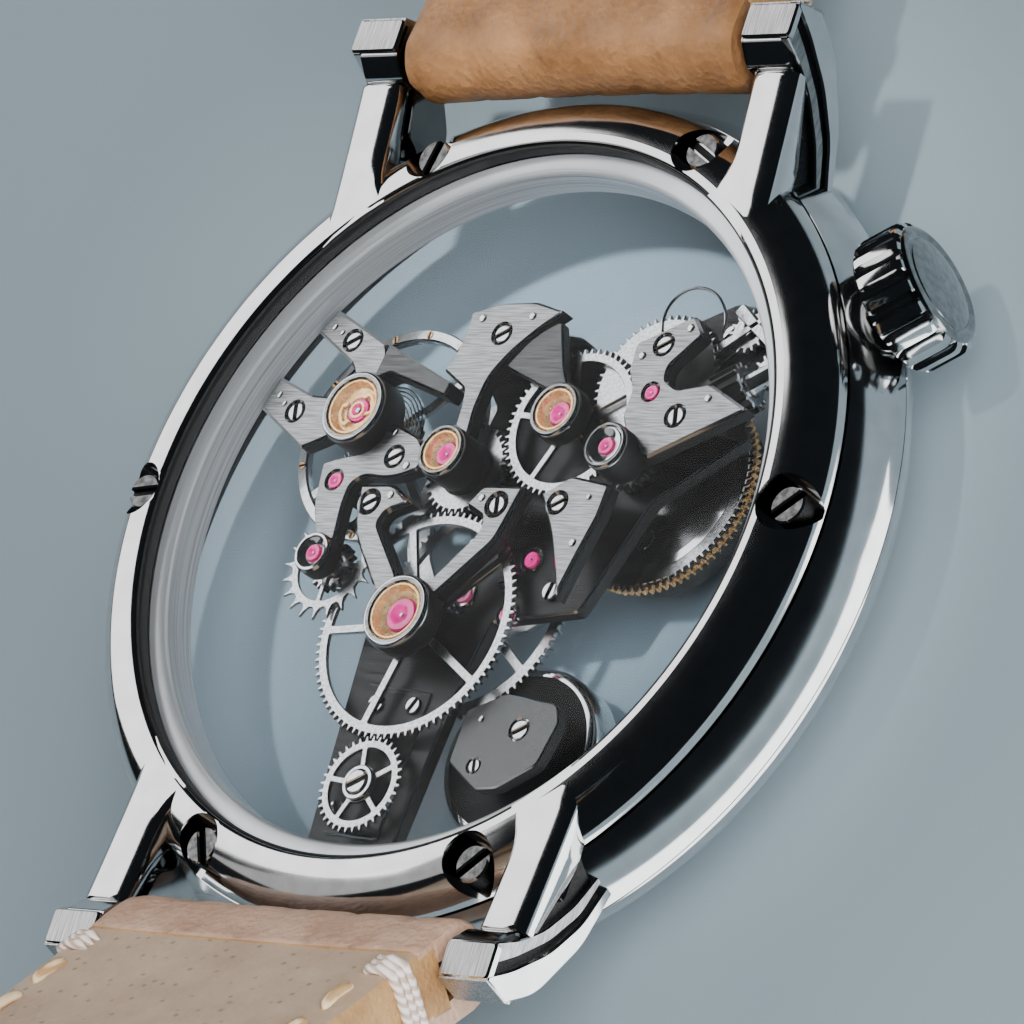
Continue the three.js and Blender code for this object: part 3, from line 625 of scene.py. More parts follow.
def lug():
    """The corner of the mid-case: core, brushed flank band, polished outer band, and the two tip faces."""
    build = Build()
    core = [(15.0, 5.2, 0.05), (15.0, 7.5, 0.05), (17.9, 7.55), (18.25, 8.3), (20.25, 8.8), (20.35, 10.0,
        0.3),
            (21.2, 10.85, 0.1), (22.9, 10.85, 0.1), (23.2, 9.4), (22.3, 7.95), (19.6, 6.1)]
    # The core's outer face takes the near-black painted as shade in the gaps between the bands.
    build.merge(side_prism(rounded(core, 0.3), 10.12, 12.4, 0.1, (4, 0, 0)))
    inner = [(v[0], v[1]) for v in rounded(core, 0.3)]
    build.merge(side_prism(inner, 10.08, 10.2, 0.0, (0, 0, 0)))
    band = [(21.25, 10.95, 0.1), (20.6, 9.6), (19.6, 8.35), (18.0, 7.1), (16.0, 6.1, 0.05), (15.9, 5.75,
        0.05),
            (18.2, 6.55), (20.0, 7.95), (21.4, 9.6), (22.3, 10.95, 0.1)]
    build.merge(side_prism(rounded(band, 0.5, 6), 12.3, 12.72, 0.06, (1, 0, 0)))
    outer = [(22.75, 11.0, 0.1), (22.0, 9.75), (20.4, 7.85), (18.5, 6.45), (15.6, 5.35, 0.05), (15.2, 5.0,
        0.05),
             (15.9, 4.95, 0.1), (19.4, 6.0), (22.4, 7.9, 1.2), (23.36, 9.45, 0.15), (23.0, 11.0, 0.1)]
    build.merge(side_prism(rounded(outer, 0.6, 6), 12.3, 12.85, 0.1, (0, 0, 0)))
    pocket = [(16.6, 7.56, 0.02), (20.2, 8.75, 0.05), (20.2, 9.3, 0.05), (17.4, 8.5), (15.4, 7.56, 0.02)]
    build.merge(side_prism(rounded(pocket, 0.1), 12.0, 12.6, 0.03, (3, 0, 0)))
    top = rounded([(10.08, 21.28), (12.83, 21.28), (12.83, 22.95), (10.08, 22.95)], 0.25, 5)
    build.merge(prism(top, 10.7, 11.07, bevel=0.1, mats=(2, 0, 0)))
    tip = [(10.1, 22.85), (12.8, 22.85), (12.8, 23.38), (10.1, 23.38)]
    low = [(10.1, 22.4), (12.8, 22.4), (12.8, 23.3), (10.1, 23.3)]
    rows = [[(x, y, 9.2) for x, y in low], [(x, y, 9.5) for x, y in tip]]
    rows.append([(x, min(y, 23.02), 10.98) for x, y in tip])
    build.merge(loft(rows, 2))
    return build


CROWN_ANGLE = math.radians(30)
CROWN_HEIGHT = 5.7


def case_middle():
    bowl = smooth_profile([(21.14, 4.86), (20.98, 5.5), (20.72, 6.2), (20.4, 6.9), (20.05, 7.5)])
    profile = [(19.2, 4.85)] + bowl + [(17.4, 7.55), (17.4, 6.4), (19.2, 6.2)]
    bore = lathe([(0, 15), (0.82, 15), (0.82, 24), (0, 24)], segments=32)
    bore = Build().merge(bore, along_crown)
    piece("case_band", lathe(profile, segments=288), [POLISHED], "case", ["case_middle"],
          40,
          [bore])
    build = Build()
    for sx, sy in CORNERS:
        build.merge(corner(lug(), sx, sy))
    mats = [POLISHED, BRUSHED_FLANK, BRUSHED_CAP, BLASTED, SHADE_BLACK]
    piece("case_lugs", build, mats, "case", ["case_middle"], 30)


def along_crown(v):
    """Lays a shape drawn round the vertical on the crown's axis: its height becomes the distance out."""
    out, side, up = v[2], v[0], v[1]
    c, s = math.cos(CROWN_ANGLE), math.sin(CROWN_ANGLE)
    return (out * c - side * s, out * s + side * c, CROWN_HEIGHT + up)


def front_side():
    bezel = smooth_profile([(19.42, 3.3), (19.7, 3.14), (20.05, 3.15), (20.5, 3.45), (20.85, 3.9), (21.08,
        4.5),
                            (21.1, 4.76)])
    piece("front_bezel_body", lathe([(19.42, 4.77)] + bezel, segments=288), [POLISHED], "case",
          ["front_bezel"])
    cup = [(0, 0), (14.9, 0), (15.4, 0.05), (17.9, 0.62), (18.2, 0.95), (19.28, 3.0), (19.28, 4.7), (18.42,
        4.7),
           (18.42, 3.05), (17.1, 1.42), (14.8, 0.9), (0, 0.9)]
    piece("front_crystal_cup", lathe(cup, segments=192), [FRONT_GLASS], "case", ["front_crystal"],
          20)


def back_side():
    disc = [(0, 8.3), (17.18, 8.3), (17.18, 8.98), (16.42, 9.14), (0, 9.14)]
    piece("rear_crystal_disc", lathe(disc, segments=288), [BACK_GLASS], "case", ["rear_crystal"],
          10)
    wall = [(16.25, 6.47), (17.22, 6.47), (17.22, 8.24), (16.5, 8.24), (16.3, 8.1), (16.25, 7.9)]
    piece("flange_wall", lathe(wall, segments=288), [BRUSHED_WALL], "case",
          ["inner_flange"])
    build = lathe([(17.19, 8.4), (17.29, 8.4), (17.29, 9.1), (17.19, 9.05)], segments=192)
    piece("crystal_gasket", build, [GASKET], "case")


def crown_piece():
    rows = []
    stations = [(21.32, 2.6, 0), (21.36, 2.95, 0), (21.5, 3.1, 0.6), (21.75, 3.15, 1), (22.5, 3.15, 1),
                (23.2, 3.15, 1), (23.45, 3.12, 1), (23.62, 2.98, 0.7), (23.7, 2.8, 0)]
    flutes, steps = 18, 14
    count = flutes * steps
    for out, radius, depth in stations:
        row = []
        for i in range(count):
            share = (i / steps) % 1
            wave = abs(2 * share - 1)
            cut = 0.46 * depth * max(0.0, 1 - (wave / 0.5) ** 2) ** 0.5 if wave < 0.5 else 0.0
            a = TURN * i / count
            row.append(((radius - cut) * math.cos(a), (radius - cut) * math.sin(a), out))
        rows.append(row)
    build = Build().merge(loft(rows), along_crown)
    face = smooth_profile([(2.8, 23.62), (2.72, 23.82), (2.5, 23.92), (2.32, 23.86), (2.2, 23.83), (2.05,
        23.92),
                           (1.5, 24.02), (0.8, 24.08), (0.02, 24.1)])
    end = lathe([(0.0, 23.4), (2.8, 23.4)] + face, segments=96)
    build.merge(end, along_crown, 1)
    piece("crown_grip", build, [POLISHED, CROWN_FACE], "crown", ["crown"], 35)
    tube = Build().merge(lathe([(0.58, 17.6), (0.78, 17.6), (0.78, 21.18), (0.58, 21.18)], segments=48),
                         along_crown)
    collar = smooth_profile([(1.0, 20.9), (1.7, 21.0), (1.85, 21.15), (1.6, 21.25)])
    tube.merge(lathe([(0.8, 20.9)] + collar + [(0.8, 21.25)], segments=64), along_crown)
    piece("crown_tube_sleeve", tube, [POLISHED], "case", ["crown_tube"])


# ---- Gear train ----

MODULE = 0.124
LARGE = (-2.28, -4.98, 88, 0.0)


def mesh_with(neighbour, teeth, bearing_degrees):
    """The place and phase of a wheel that meshes with another at a bearing."""
    x, y, own, phase = neighbour
    bearing = math.radians(bearing_degrees)
    reach = MODULE * (teeth + own) / 2
    share = ((bearing - phase) * own / TURN) % 1
    turned = bearing + math.pi - TURN * (0.5 - share) / teeth
    return (x + reach * math.cos(bearing), y + reach * math.sin(bearing), teeth, turned)


CENTRE = mesh_with(LARGE, 35, 90)
SMALL = mesh_with(LARGE, 36, 268.9)
ESCAPE = mesh_with(LARGE, 18, 156)
UPPER = mesh_with(CENTRE, 57, 24.5)
BARREL = mesh_with(UPPER, 18, -26)
THIRD = mesh_with((CENTRE[0], CENTRE[1], 13, 0.0), 86, -76.5)
BARREL_2 = (4.0, -10.0)
CROWN_WHEEL = (6.7, 7.1)
BALANCE = (-8.38, 4.74)
BRIDGE_BASE, BRIDGE_Z = 6.36, 7.08
WHEEL_LOW, WHEEL_HIGH = 5.86, 6.05
COLLAR_BORE = 0.78
# Material numbers: 0 top, 1 polished edge, 2 blasted side painted dark as shade, 3 pin, 4 near-black painted
# as shade, 5 gold, 6 ruby, 7 ruby painted lighter as lit.
STEELS = [WHEEL_TOP, BRIDGE_EDGE, SIDE_SHADE, SCREW_TOP, SHADE_BLACK, GOLD, RUBY, RUBY_LIT]


def teeth_outline(teeth, phase, pitch=None):
    pitch = pitch or MODULE * teeth / 2
    tip, root = pitch + 0.68 * MODULE, pitch - 1.2 * MODULE
    points = []
    for k in range(teeth):
        for share, radius in ((-0.27, root), (-0.2, pitch - 0.2 * MODULE), (-0.1, tip), (0.1, tip),
                              (0.2, pitch - 0.2 * MODULE), (0.27, root)):
            a = phase + (k + share) * TURN / teeth
            points.append((radius * math.cos(a), radius * math.sin(a)))
    return points


def shifted(points, x, y):
    return [(px + x, py + y) for px, py in points]


def windows(hub, rim, spokes, first, half):
    """The openings between the spokes of a wheel."""
    result = []
    for i in range(spokes):
        start = math.radians(first) + TURN * i / spokes
        end = start + TURN / spokes
        points = []
        for radius, a, b, steps in ((rim, start, end, 14), (hub, end, start, 5)):
            lean = math.copysign(math.asin(min(0.9, half / radius)), b - a)
            for k in range(steps + 1):
                t = a + lean + (b - a - 2 * lean) * k / steps
                points.append((radius * math.cos(t), radius * math.sin(t)))
        result.append(rounded(points, 0.08, 2))
    return result


def gear(place, z0, z1, holes=(), bevel=0.04, mats=(0, 1, 2), pitch=None):
    """A flat toothed disc; place is (x, y, teeth, phase)."""
    x, y, teeth, phase = place
    return prism(shifted(teeth_outline(teeth, phase, pitch), x, y), z0, z1, holes, bevel, mats)


def spoked(place, spokes, first, hub, half, z0, z1, rim):
    x, y, teeth = place[:3]
    reach = MODULE * teeth / 2 - 1.25 * MODULE - rim
    holes = [shifted(w, x, y) for w in windows(hub, reach, spokes, first, half)]
    return gear(place, z0, z1, holes, 0.03, (0, 1, 0))


def wheel(name, place, first, hub, half, levels, rim, arbor):
    """A five-spoked wheel on its arbor: (radius, foot, end)."""
    build = spoked(place, 5, first, hub, half, *levels, rim)
    build.merge(dome(*place[:2], *arbor, 3))
    piece(name + "_gear", build, STEELS, name, [name])


def train():
    level = (WHEEL_LOW, WHEEL_HIGH)
    wheel("large_wheel", LARGE, 41, 0.85, 0.2, level, 0.42, (0.5, 5.4, 6.28))
    x, y = SMALL[:2]
    build = spoked(SMALL, 5, 30, 0.88, 0.14, *level, 0.34)
    build.merge(lathe([(0.6, 6.0), (0.84, 6.0), (0.84, 6.2), (0.78, 6.26), (0.64, 6.26), (0.6, 6.2)], x, y,
                      40, 3))
    build.merge(screw(x, y, 0.56, 6.0, 6.36, 0.5, 0.34, 0.14, (3, 1, 4)))
    build.merge(lathe([(0, 5.4), (0.45, 5.4), (0.45, 5.9), (0, 5.9)], x, y, 24, 3))
    piece("small_wheel_gear", build, STEELS, "small_wheel", ["small_wheel"])
    wheel("upper_wheel", UPPER, 30, 0.85, 0.16, level, 0.4, (0.4, 5.4, 6.28))
    wheel("third_wheel", THIRD, -37, 0.85, 0.22, (4.07, 4.29), 0.5, (0.5, 2.62, 4.48))
    x, y = CENTRE[:2]
    build = gear(CENTRE, 5.57, WHEEL_HIGH, [circle(x, y, 1.3)])
    build.merge(lathe([(0.4, 5.6), (1.35, 5.6), (1.35, 5.85), (0.4, 5.85)], x, y, 40, 2))
    build.merge(gear((x, y, 13, 0.0), 3.97, 4.39, bevel=0.03))
    build.merge(dome(x, y, 0.5, 2.02, 6.28, 3))
    piece("centre_wheel_gear", build, STEELS, "centre_wheel", ["centre_wheel"])
    escape_wheel()
    barrels()
    balance()


def escape_wheel():
    x, y = ESCAPE[:2]
    points = []
    for k in range(20):
        a = TURN * k / 20
        for radius, share in ((2.72, 0.0), (2.7, 0.02), (2.32, 0.07), (2.16, 0.13), (2.14, 0.24), (2.3,
            0.29)):
            points.append((x + radius * math.cos(a + share), y + radius * math.sin(a + share)))
    holes = [shifted(w, x, y) for w in windows(0.62, 1.78, 4, 0, 0.12)]
    build = prism(points, 6.13, 6.26, holes, 0.03, (0, 1, 0))
    build.merge(gear(ESCAPE, 5.76, 6.13, bevel=0.03, mats=(3, 1, 2)))
    build.merge(dome(x, y, 0.24, 5.46, 7.1, 3))
    piece("escape_wheel_gear", build, STEELS, "escape_wheel", ["escape_wheel"])


def barrels():
    x, y = BARREL[:2]
    drum = [(0, 1.97), (4.4, 1.97), (4.56, 2.1), (4.56, 3.3), (4.3, 3.96), (3.9, 3.98), (3.8, 3.9), (1.2,
        3.9), (0, 3.9)]
    # The drum's underside takes the near-black painted as shade.
    build = lathe(drum, x, y, 96, [4, 4, 2, 2, 1, 1, 0, 0, 4])
    build.merge(gear((x, y, 84, 0.0), 3.36, 3.62, [circle(x, y, 4.3, 64)], mats=(5, 5, 5), pitch=4.98))
    build.merge(gear((x, y, 84, 0.02), 3.74, 3.94, [circle(x, y, 4.2, 64)], pitch=4.98))
    build.merge(dome(x, y, 0.62, 3.9, 6.88, 3))
    build.merge(gear(BARREL, 5.72, WHEEL_HIGH, bevel=0.03))
    for k in range(3):
        a = 0.6 + TURN * k / 3
        build.merge(screw(x + 2.6 * math.cos(a), y + 2.6 * math.sin(a), 0.5, 3.8, 3.98, a, 0.3, 0.1, (3, 1,
            4)))
    piece("barrel_1_drum", build, STEELS, "barrel_1", ["barrel_1"])
    x, y = BARREL_2
    drum = [(0, 1.97), (3.9, 1.97), (4.17, 2.3), (4.17, 3.6), (4.0, 3.85), (3.7, 3.93), (0, 3.93)]
    # The drum's underside and its top, under the cover, take the near-black painted as shade.
    build = lathe(drum, x, y, 96, [4, 1, 1, 1, 1, 4, 4])
    piece("barrel_2_drum", build, STEELS, "barrel_2", ["barrel_2"])
    x, y = CROWN_WHEEL
    build = gear((x, y, 52, 0.0), 5.47, 5.69, [circle(x, y, 0.62)], mats=(0, 1, 0), pitch=3.3)
    piece("crown_wheel_gear", build, STEELS, "crown_wheel", ["crown_wheel"])


def balance():
    x, y = BALANCE
    rim = [(4.78, 4.66), (4.86, 4.64), (5.26, 4.64), (5.33, 4.72), (5.33, 5.0), (5.26, 5.08), (4.86, 5.08),
           (4.78, 5.0)]
    build = lathe(rim, x, y, 144, 3)
    for k in range(4):
        a = 0.7 + k * TURN / 4
        arm = [(0.2, -0.2), (4.9, -0.26), (4.9, 0.26), (0.2, 0.2)]
        outline = turned_outline(arm, x, y, a)
        build.merge(prism(outline, 4.75, 4.97, bevel=0.04, mats=(0, 1, 0)))
        for lean in (0.35, 0.8, 1.2):
            b = a + lean
            build.merge(screw(x + 5.05 * math.cos(b), y + 5.05 * math.sin(b), 0.19, 5.0, 5.12, b, 0.3,
                              0.04, (5, 5, 4)))
    build.merge(lathe([(0, 4.6), (0.9, 4.6), (0.9, 5.0), (0.45, 5.1), (0.42, 5.85), (0, 5.85)], x, y, 32,
                      3))
    build.merge(dome(x, y, 0.2, 3.62, 7.05, 3))
    piece("balance_wheel_rim", build, STEELS, "balance", ["balance_wheel"])
    inner, outer = [], []
    steps, turns = 420, 9
    for k in range(steps + 1):
        t = k / steps
        a, radius = TURN * turns * t, 0.62 + 1.68 * t
        inner.append((x + (radius - 0.022) * math.cos(a), y + (radius - 0.022) * math.sin(a)))
        outer.append((x + (radius + 0.022) * math.cos(a), y + (radius + 0.022) * math.sin(a)))
    rows = []
    for (ix, iy), (ox, oy) in zip(inner, outer):
        rows.append([(ix, iy, 5.37), (ox, oy, 5.37), (ox, oy, 5.58), (ix, iy, 5.58)])
    piece("hairspring_coil", loft(rows), [SCREW_TOP], "balance", ["hairspring"])


# ---- Plate, bridges and jewels ----

def jewel(build, x, y, radius, z, pivot=True):
    """A ruby with an oil sink, and the pivot that shows in it; material 6 is the ruby, and 7, on the sink
    and flat top, is a lighter copy painted as lit.
    """
    profile = [(0.0, z - 0.22 * radius), (0.2 * radius, z - 0.2 * radius), (0.38 * radius,
        z - 0.1 * radius),
               (0.55 * radius, z), (0.88 * radius, z), (radius, z - 0.1 * radius), (radius, z - 0.5), (0,
                   z - 0.5)]
    build.merge(lathe(profile, x, y, 40, [7, 7, 7, 7, 6, 6, 6, 6]))
    if pivot:
        build.merge(dome(x, y, 0.13 * radius, z - 0.4 * radius, z - 0.06 * radius, 3, 16))


def collar(build, x, y, outer, top):
    """A polished steel ring standing on a bridge's base level."""
    inner = COLLAR_BORE * outer
    profile = [(inner, BRIDGE_BASE), (outer - 0.04, BRIDGE_BASE), (outer, BRIDGE_BASE + 0.08), (outer,
        top - 0.2), (outer - 0.05, top - 0.08),
               (outer - 0.13, top - 0.01), (0.5 * (outer + inner), top), (inner + 0.05, top - 0.01),
               (inner, top - 0.07)]
    # The collar's foot takes the near-black painted as shade.
    build.merge(lathe(profile, x, y, 72, [4, 2, 2, 1, 1, 1, 0, 1, 1]))


def gold_cup(name, node, place, outer, top, stone):
    """A gold cup with its ruby; the balance's cup also has a spring and a ring."""
    x, y = place[:2]
    rim = COLLAR_BORE * outer - 0.03
    seat = top - 0.5
    profile = [(stone, 6.5), (rim, 6.5), (rim, top - 0.12), (rim - 0.04, top - 0.06), (rim - 0.12,
        top - 0.06),
               (rim - 0.16, top - 0.12), (0.86 * rim, seat + 0.2), (0.8 * rim, seat + 0.06), (stone + 0.05,
                   seat),
               (stone, seat - 0.05)]
    build = lathe(profile, x, y, 72, 5)
    # A near-black disc under the ruby, painted as shade beneath the stone.
    build.merge(lathe([(0, 6.5), (stone, 6.5), (stone, 6.6), (0, 6.6)], x, y, 24, 4))
    jewel(build, x, y, stone - 0.01, seat + 0.04, name != "balance_cup")
    if name == "balance_cup":
        ring = lathe([(0.3, seat), (0.42, seat), (0.42, seat + 0.12), (0.3, seat + 0.12)], x, y, 40, 5)
        build.merge(ring)
        for k in range(2):
            a = 0.4 + k * math.pi
            loop = [(0.34, -0.5), (0.78, -0.62), (0.98, -0.3), (1.02, 0.0), (0.98, 0.3), (0.78, 0.62),
                    (0.34, 0.5),
                    (0.5, 0.34), (0.74, 0.42), (0.86, 0.0), (0.74, -0.42), (0.5, -0.34)]
            outline = turned_outline(rounded(loop, 0.2, 3), x, y, a)
            build.merge(prism(outline, seat + 0.08, seat + 0.17, bevel=0.02, mats=(5, 5, 5)))
        build.merge(dome(x, y, 0.16, 6.7, seat + 0.06, 3, 16))
    piece(name, build, STEELS, "case", [node])


def steel_jewel(build, place, outer, top, stone):
    """A ruby set in the top of a steel collar."""
    x, y = place[:2]
    build.merge(lathe([(stone, 6.6), (0.79 * outer, 6.6), (0.79 * outer, top - 0.1), (0.72 * outer,
        top - 0.06),
                       (stone + 0.06, top - 0.16), (stone, top - 0.22)], x, y, 48, 1))
    jewel(build, x, y, stone, top - 0.14)


def bridge(name, node, outlines, screws=(), pins=(), jewels=(), rings=(), extra=None, mats=None,
           z0=BRIDGE_BASE, z1=BRIDGE_Z, bevel=0.13):
    """A bridge: brushed top, polished bevel, blasted sides painted dark as shade, with its screws, pins and
    pressed-in rubies.
    """
    build = Build()
    for outline in outlines:
        holes = []
        for x, y, radius in list(screws) + [(a, b, c - 0.02) for a, b, c in jewels]:
            if within((x, y), outline):
                holes.append(circle(x, y, radius + 0.05, 28))
        build.merge(prism(outline, z0, z1, holes, bevel))
    for i, (x, y, radius) in enumerate(screws):
        build.merge(screw(x, y, radius, z0, z1 - 0.03, 0.5 + 1.3 * i, 0.32, 0.16, (3, 1, 4)))
    for x, y, radius in pins:
        build.merge(dome(x, y, radius, z0, z1 + 0.07, 3))
    for x, y, radius in jewels:
        jewel(build, x, y, radius, z1 - 0.04)
    for place, outer, top in rings:
        collar(build, place[0], place[1], outer, top)
    if extra:
        extra(build)
    piece(name, build, mats or [BRIDGE_TOP] + STEELS[1:], "case", [node])


def within(point, outline):
    x, y = point
    inside = False
    for (x0, y0), (x1, y1) in zip(outline, outline[1:] + outline[:1]):
        if (y0 > y) != (y1 > y) and x < (x1 - x0) * (y - y0) / (y1 - y0) + x0:
            inside = not inside
    return inside


def bridges():
    upper_leg = rounded([(-12.1, 10.05, 0.1), (-10.9, 9.5), (-8.5, 8.35), (-8.15, 7.6, 0.5), (-8.2, 6.2),
                         (-9.4, 6.0),
                         (-10.15, 7.3, 0.4), (-12.95, 8.95, 0.1)])
    lower_leg = rounded([(-14.3, 6.65, 0.1), (-12.0, 5.75), (-9.9, 5.6), (-9.6, 3.95), (-10.5, 3.5),
                         (-11.6, 3.05, 0.2),
                         (-14.9, 5.05, 0.1)])
    blank = rounded([(-7.95, 8.15), (-3.45, 6.2), (-3.6, 5.55), (-7.3, 6.7), (-8.3, 6.3)], 0.15)

    def blank_bar(build):
        build.merge(prism(blank, BRIDGE_BASE, 7.48, bevel=0.1, mats=(8, 1, 2)))

    bridge("balance_bridge_plate", "balance_bridge", [upper_leg, lower_leg], [(-10.6, 8.5, 0.42), (-12.7,
        4.9, 0.42)],
           [(-12.0, 9.2, 0.2), (-14.0, 5.75, 0.2), (-11.4, 8.9, 0.14), (-13.5, 5.3, 0.14)], (), [(BALANCE,
               1.8, 8.03)],
           blank_bar, [BRIDGE_TOP] + STEELS[1:] + [DARK_BAR])
    limb = rounded([(-6.65, 4.45), (-4.7, 3.7), (-4.05, 3.0), (-4.1, 2.1), (-5.1, 1.75), (-6.0, 1.62, 0.3),
                    (-7.2, 1.75, 0.5), (-7.85, 1.3, 0.5), (-7.9, 0.3), (-7.7, -1.5), (-8.85, -1.5), (-9.7,
                        0.3, 0.4),
                    (-10.0, 2.4, 0.3), (-8.9, 2.65, 0.2), (-7.6, 2.95), (-6.95, 3.5)])

    def escape_post(build):
        build.merge(lathe([(0.8, 6.74), (1.0, 6.74), (1.0, 7.5), (0.9, 7.64), (0.8, 7.66)], ESCAPE[0],
                          ESCAPE[1], 64,
                          [2, 2, 1, 1, 1]))
        steel_jewel(build, ESCAPE, 1.0, 7.66, 0.42)
        # The red pallet stone is fixed with the bridge and does not rock with the fork.
        outline = [(-10.2, 0.75), (-9.75, 0.75), (-9.75, 0.2), (-10.2, 0.2)]
        build.merge(prism(outline, 6.1, 6.34, bevel=0.03, mats=(6, 6, 6)))

    bridge("escapement_bridge_plate", "escapement_bridge", [limb], [(-5.75, 2.7, 0.42)],
           [(-6.2, 3.9, 0.2), (-4.85, 2.25, 0.2)], [(-8.9, 1.5, 0.4)], (), escape_post, z0=6.72 - 0.34)
    left = rounded([(-7.3, 1.35), (-5.3, 1.4), (-3.85, 0.45), (-5.15, 0.0, 0.4), (-5.4, -0.6), (-3.3,
        -3.0), (-3.0, -3.6),
                    (-4.2, -4.1), (-6.5, -1.35, 0.5), (-6.85, -0.6)])
    right = rounded([(-0.75, 0.4), (0.0, 1.42), (2.45, 1.42), (1.75, -1.3, 0.4), (-0.8, -4.1), (-1.6, -3.5),
                     (0.55, -0.85, 0.4), (0.55, -0.2)])
    bridge("train_bridge_plate", "train_bridge", [left, right], [(-6.35, 0.45, 0.42), (1.15, 0.45, 0.42)],
           [(-5.2, 0.8, 0.2), (0.2, 0.75, 0.2)], (), [(LARGE, 1.8, 7.58)], bevel=0.2)
    body = rounded([(-4.05, 9.95, 0.15), (-2.4, 10.4), (-0.4, 10.45), (1.45, 9.95, 0.1), (0.3, 9.1, 0.6),
                    (-0.9, 7.95, 0.6), (-1.75, 6.7, 0.6), (-1.95, 5.1), (-1.85, 3.7), (-2.8, 3.7), (-2.85,
                        5.2),
                    (-3.0, 6.1, 0.2), (-4.6, 7.05, 0.2), (-4.25, 7.55, 0.2), (-3.95, 8.9)], 0.3, 5)
    arm = rounded([(-1.15, 7.3), (2.2, 6.0), (2.9, 6.25), (2.3, 7.2), (1.7, 8.6), (1.3, 9.6), (0.4, 9.1),
                   (-0.3, 8.5)])

    def dark_arm(build):
        build.merge(prism(arm, BRIDGE_BASE, 6.88, bevel=0.08, mats=(8, 1, 2)))
        build.merge(dome(-3.0, 9.2, 0.48, 5.35, 6.4, 2))

    bridge("crescent_bridge_plate", "crescent_bridge", [body], [(-1.8, 8.85, 0.42)], [(-3.2, 9.6, 0.2),
        (-0.3, 9.7, 0.2)],
           (), [(CENTRE, 1.3, 8.03), (UPPER, 1.37, 7.38)], dark_arm, [BRIDGE_TOP] + STEELS[1:] + [DARK_BAR])
    winding = rounded([(6.1, 8.4), (7.6, 9.1), (9.0, 9.75, 0.2), (9.8, 8.8, 0.2), (8.4, 7.25), (8.45, 6.6),
                       (9.3, 6.15),
                       (11.0, 6.45, 0.2), (13.5, 5.2, 0.1), (8.6, 2.75, 0.3), (7.15, 4.0), (6.65, 4.9),
                       (6.7, 6.1),
                       (6.2, 7.1)])

    def barrel_jewel(build):
        steel_jewel(build, BARREL, 1.15, 8.08, 0.42)

    bridge("winding_bridge_plate", "winding_bridge", [winding], [(7.75, 8.3, 0.42), (9.65, 4.85, 0.42)],
           [(6.75, 7.75, 0.2), (9.0, 9.1, 0.2), (11.2, 5.7, 0.2)], [(7.85, 6.0, 0.36)], [(BARREL, 1.15,
               8.08)],
           barrel_jewel)
    sickle = rounded([(3.45, 1.05, 0.1), (4.9, 1.95), (6.1, 1.75), (7.25, 1.55, 0.2), (7.15, 0.0), (6.7,
        -1.7, 0.5),
                      (6.18, -3.95, 0.05), (5.65, -2.7, 0.5), (4.7, -0.8, 0.5)])
    bridge("barrel_bridge_plate", "barrel_bridge", [sickle], [(4.6, 0.6, 0.4)], [(6.2, -1.3, 0.2), (6.3,
        0.9, 0.14)],
           bevel=0.16)
    lower = rounded([(1.6, -8.6), (3.6, -7.75, 0.1), (6.6, -8.15), (7.0, -9.0), (6.5, -11.0), (4.6, -12.2),
                     (3.4, -12.3), (1.5, -11.1)])
    bridge("barrel_2_cover", "barrel_2_bridge", [lower], [(4.9, -9.4, 0.45), (3.0, -11.2, 0.3)], [(2.6,
        -9.0, 0.16)],
           mats=[BLASTED] + STEELS[1:], z0=4.66, z1=5.29, bevel=0.07)


def main_plate():
    outline = rounded([(-4.0, 9.7), (-1.9, 10.1), (1.2, 9.6), (3.2, 8.4), (9.5, 11.2), (11.6, 10.9), (12.5,
        9.5),
                       (10.6, 7.6, 0.2), (10.6, 4.9, 0.2), (12.4, 4.6), (8.3, 1.6), (6.1, -3.8), (1.4,
                           -4.4),
                       (0.6, -8.0), (-0.2, -15.9, 0.1), (-5.2, -15.4, 0.1), (-5.8, -4.7), (-4.9, -3.4),
                       (-1.2, -1.9), (-0.8, 0.2), (-3.4, 1.3), (-2.95, 3.6), (-2.4, 6.0), (-3.2, 7.0),
                       (-4.3, 7.9)])
    holes = [circle(BARREL[0], BARREL[1], 1.02, 40), circle(THIRD[0], THIRD[1], 0.72, 32)]
    build = prism(outline, 4.62, 5.28, holes, 0.1, (0, 1, 2))
    spine = rounded([(-4.6, -7.6), (-0.6, -7.9), (-1.1, -15.0), (-4.4, -14.8)], 0.2)
    build.merge(prism(spine, 5.2, 5.38, bevel=0.07, mats=(0, 1, 2)))
    step = rounded([(3.8, 7.6), (9.3, 10.4), (10.9, 10.2), (11.0, 9.2), (9.2, 7.8), (6.2, 5.6), (4.6,
        6.2)], 0.3)
    build.merge(prism(step, 5.2, 5.42, bevel=0.06, mats=(0, 1, 2)))
    for px, py, radius, turn in ((-3.6, -8.6, 0.45, 0.3), (-1.4, -8.6, 0.4, 1.1), (-3.9, -13.6, 0.4, 2.0),
                                 (9.9, 9.6, 0.42, 0.9), (4.9, 6.9, 0.4, 1.7), (1.6, -2.6, 0.4, 0.2),
                                 (4.3, -2.9, 0.42, 1.4), (-0.3, 9.0, 0.35, 0.6)):
        build.merge(screw(px, py, radius, 5.2, 5.52, turn, 0.32, 0.14, (3, 1, 4)))
    for px, py, radius in ((-0.7, -3.1, 0.5), (2.2, -4.05, 0.42), (2.6, -1.4, 0.4)):
        build.merge(lathe([(radius, 5.2), (radius + 0.22, 5.2), (radius + 0.22, 5.34), (radius + 0.14, 5.4),
                           (radius, 5.36)], px, py, 40, 1))
        jewel(build, px, py, radius, 5.42)
    for k in range(5):
        a = math.radians(20 + 34 * k)
        build.merge(dome(1.6 + 2.9 * math.cos(a), -1.4 + 1.9 * math.sin(a), 0.18, 5.2, 5.5, 3))
    piece("main_plate_body", build, [DARK_PLATE] + STEELS[1:], "case", ["main_plate"])


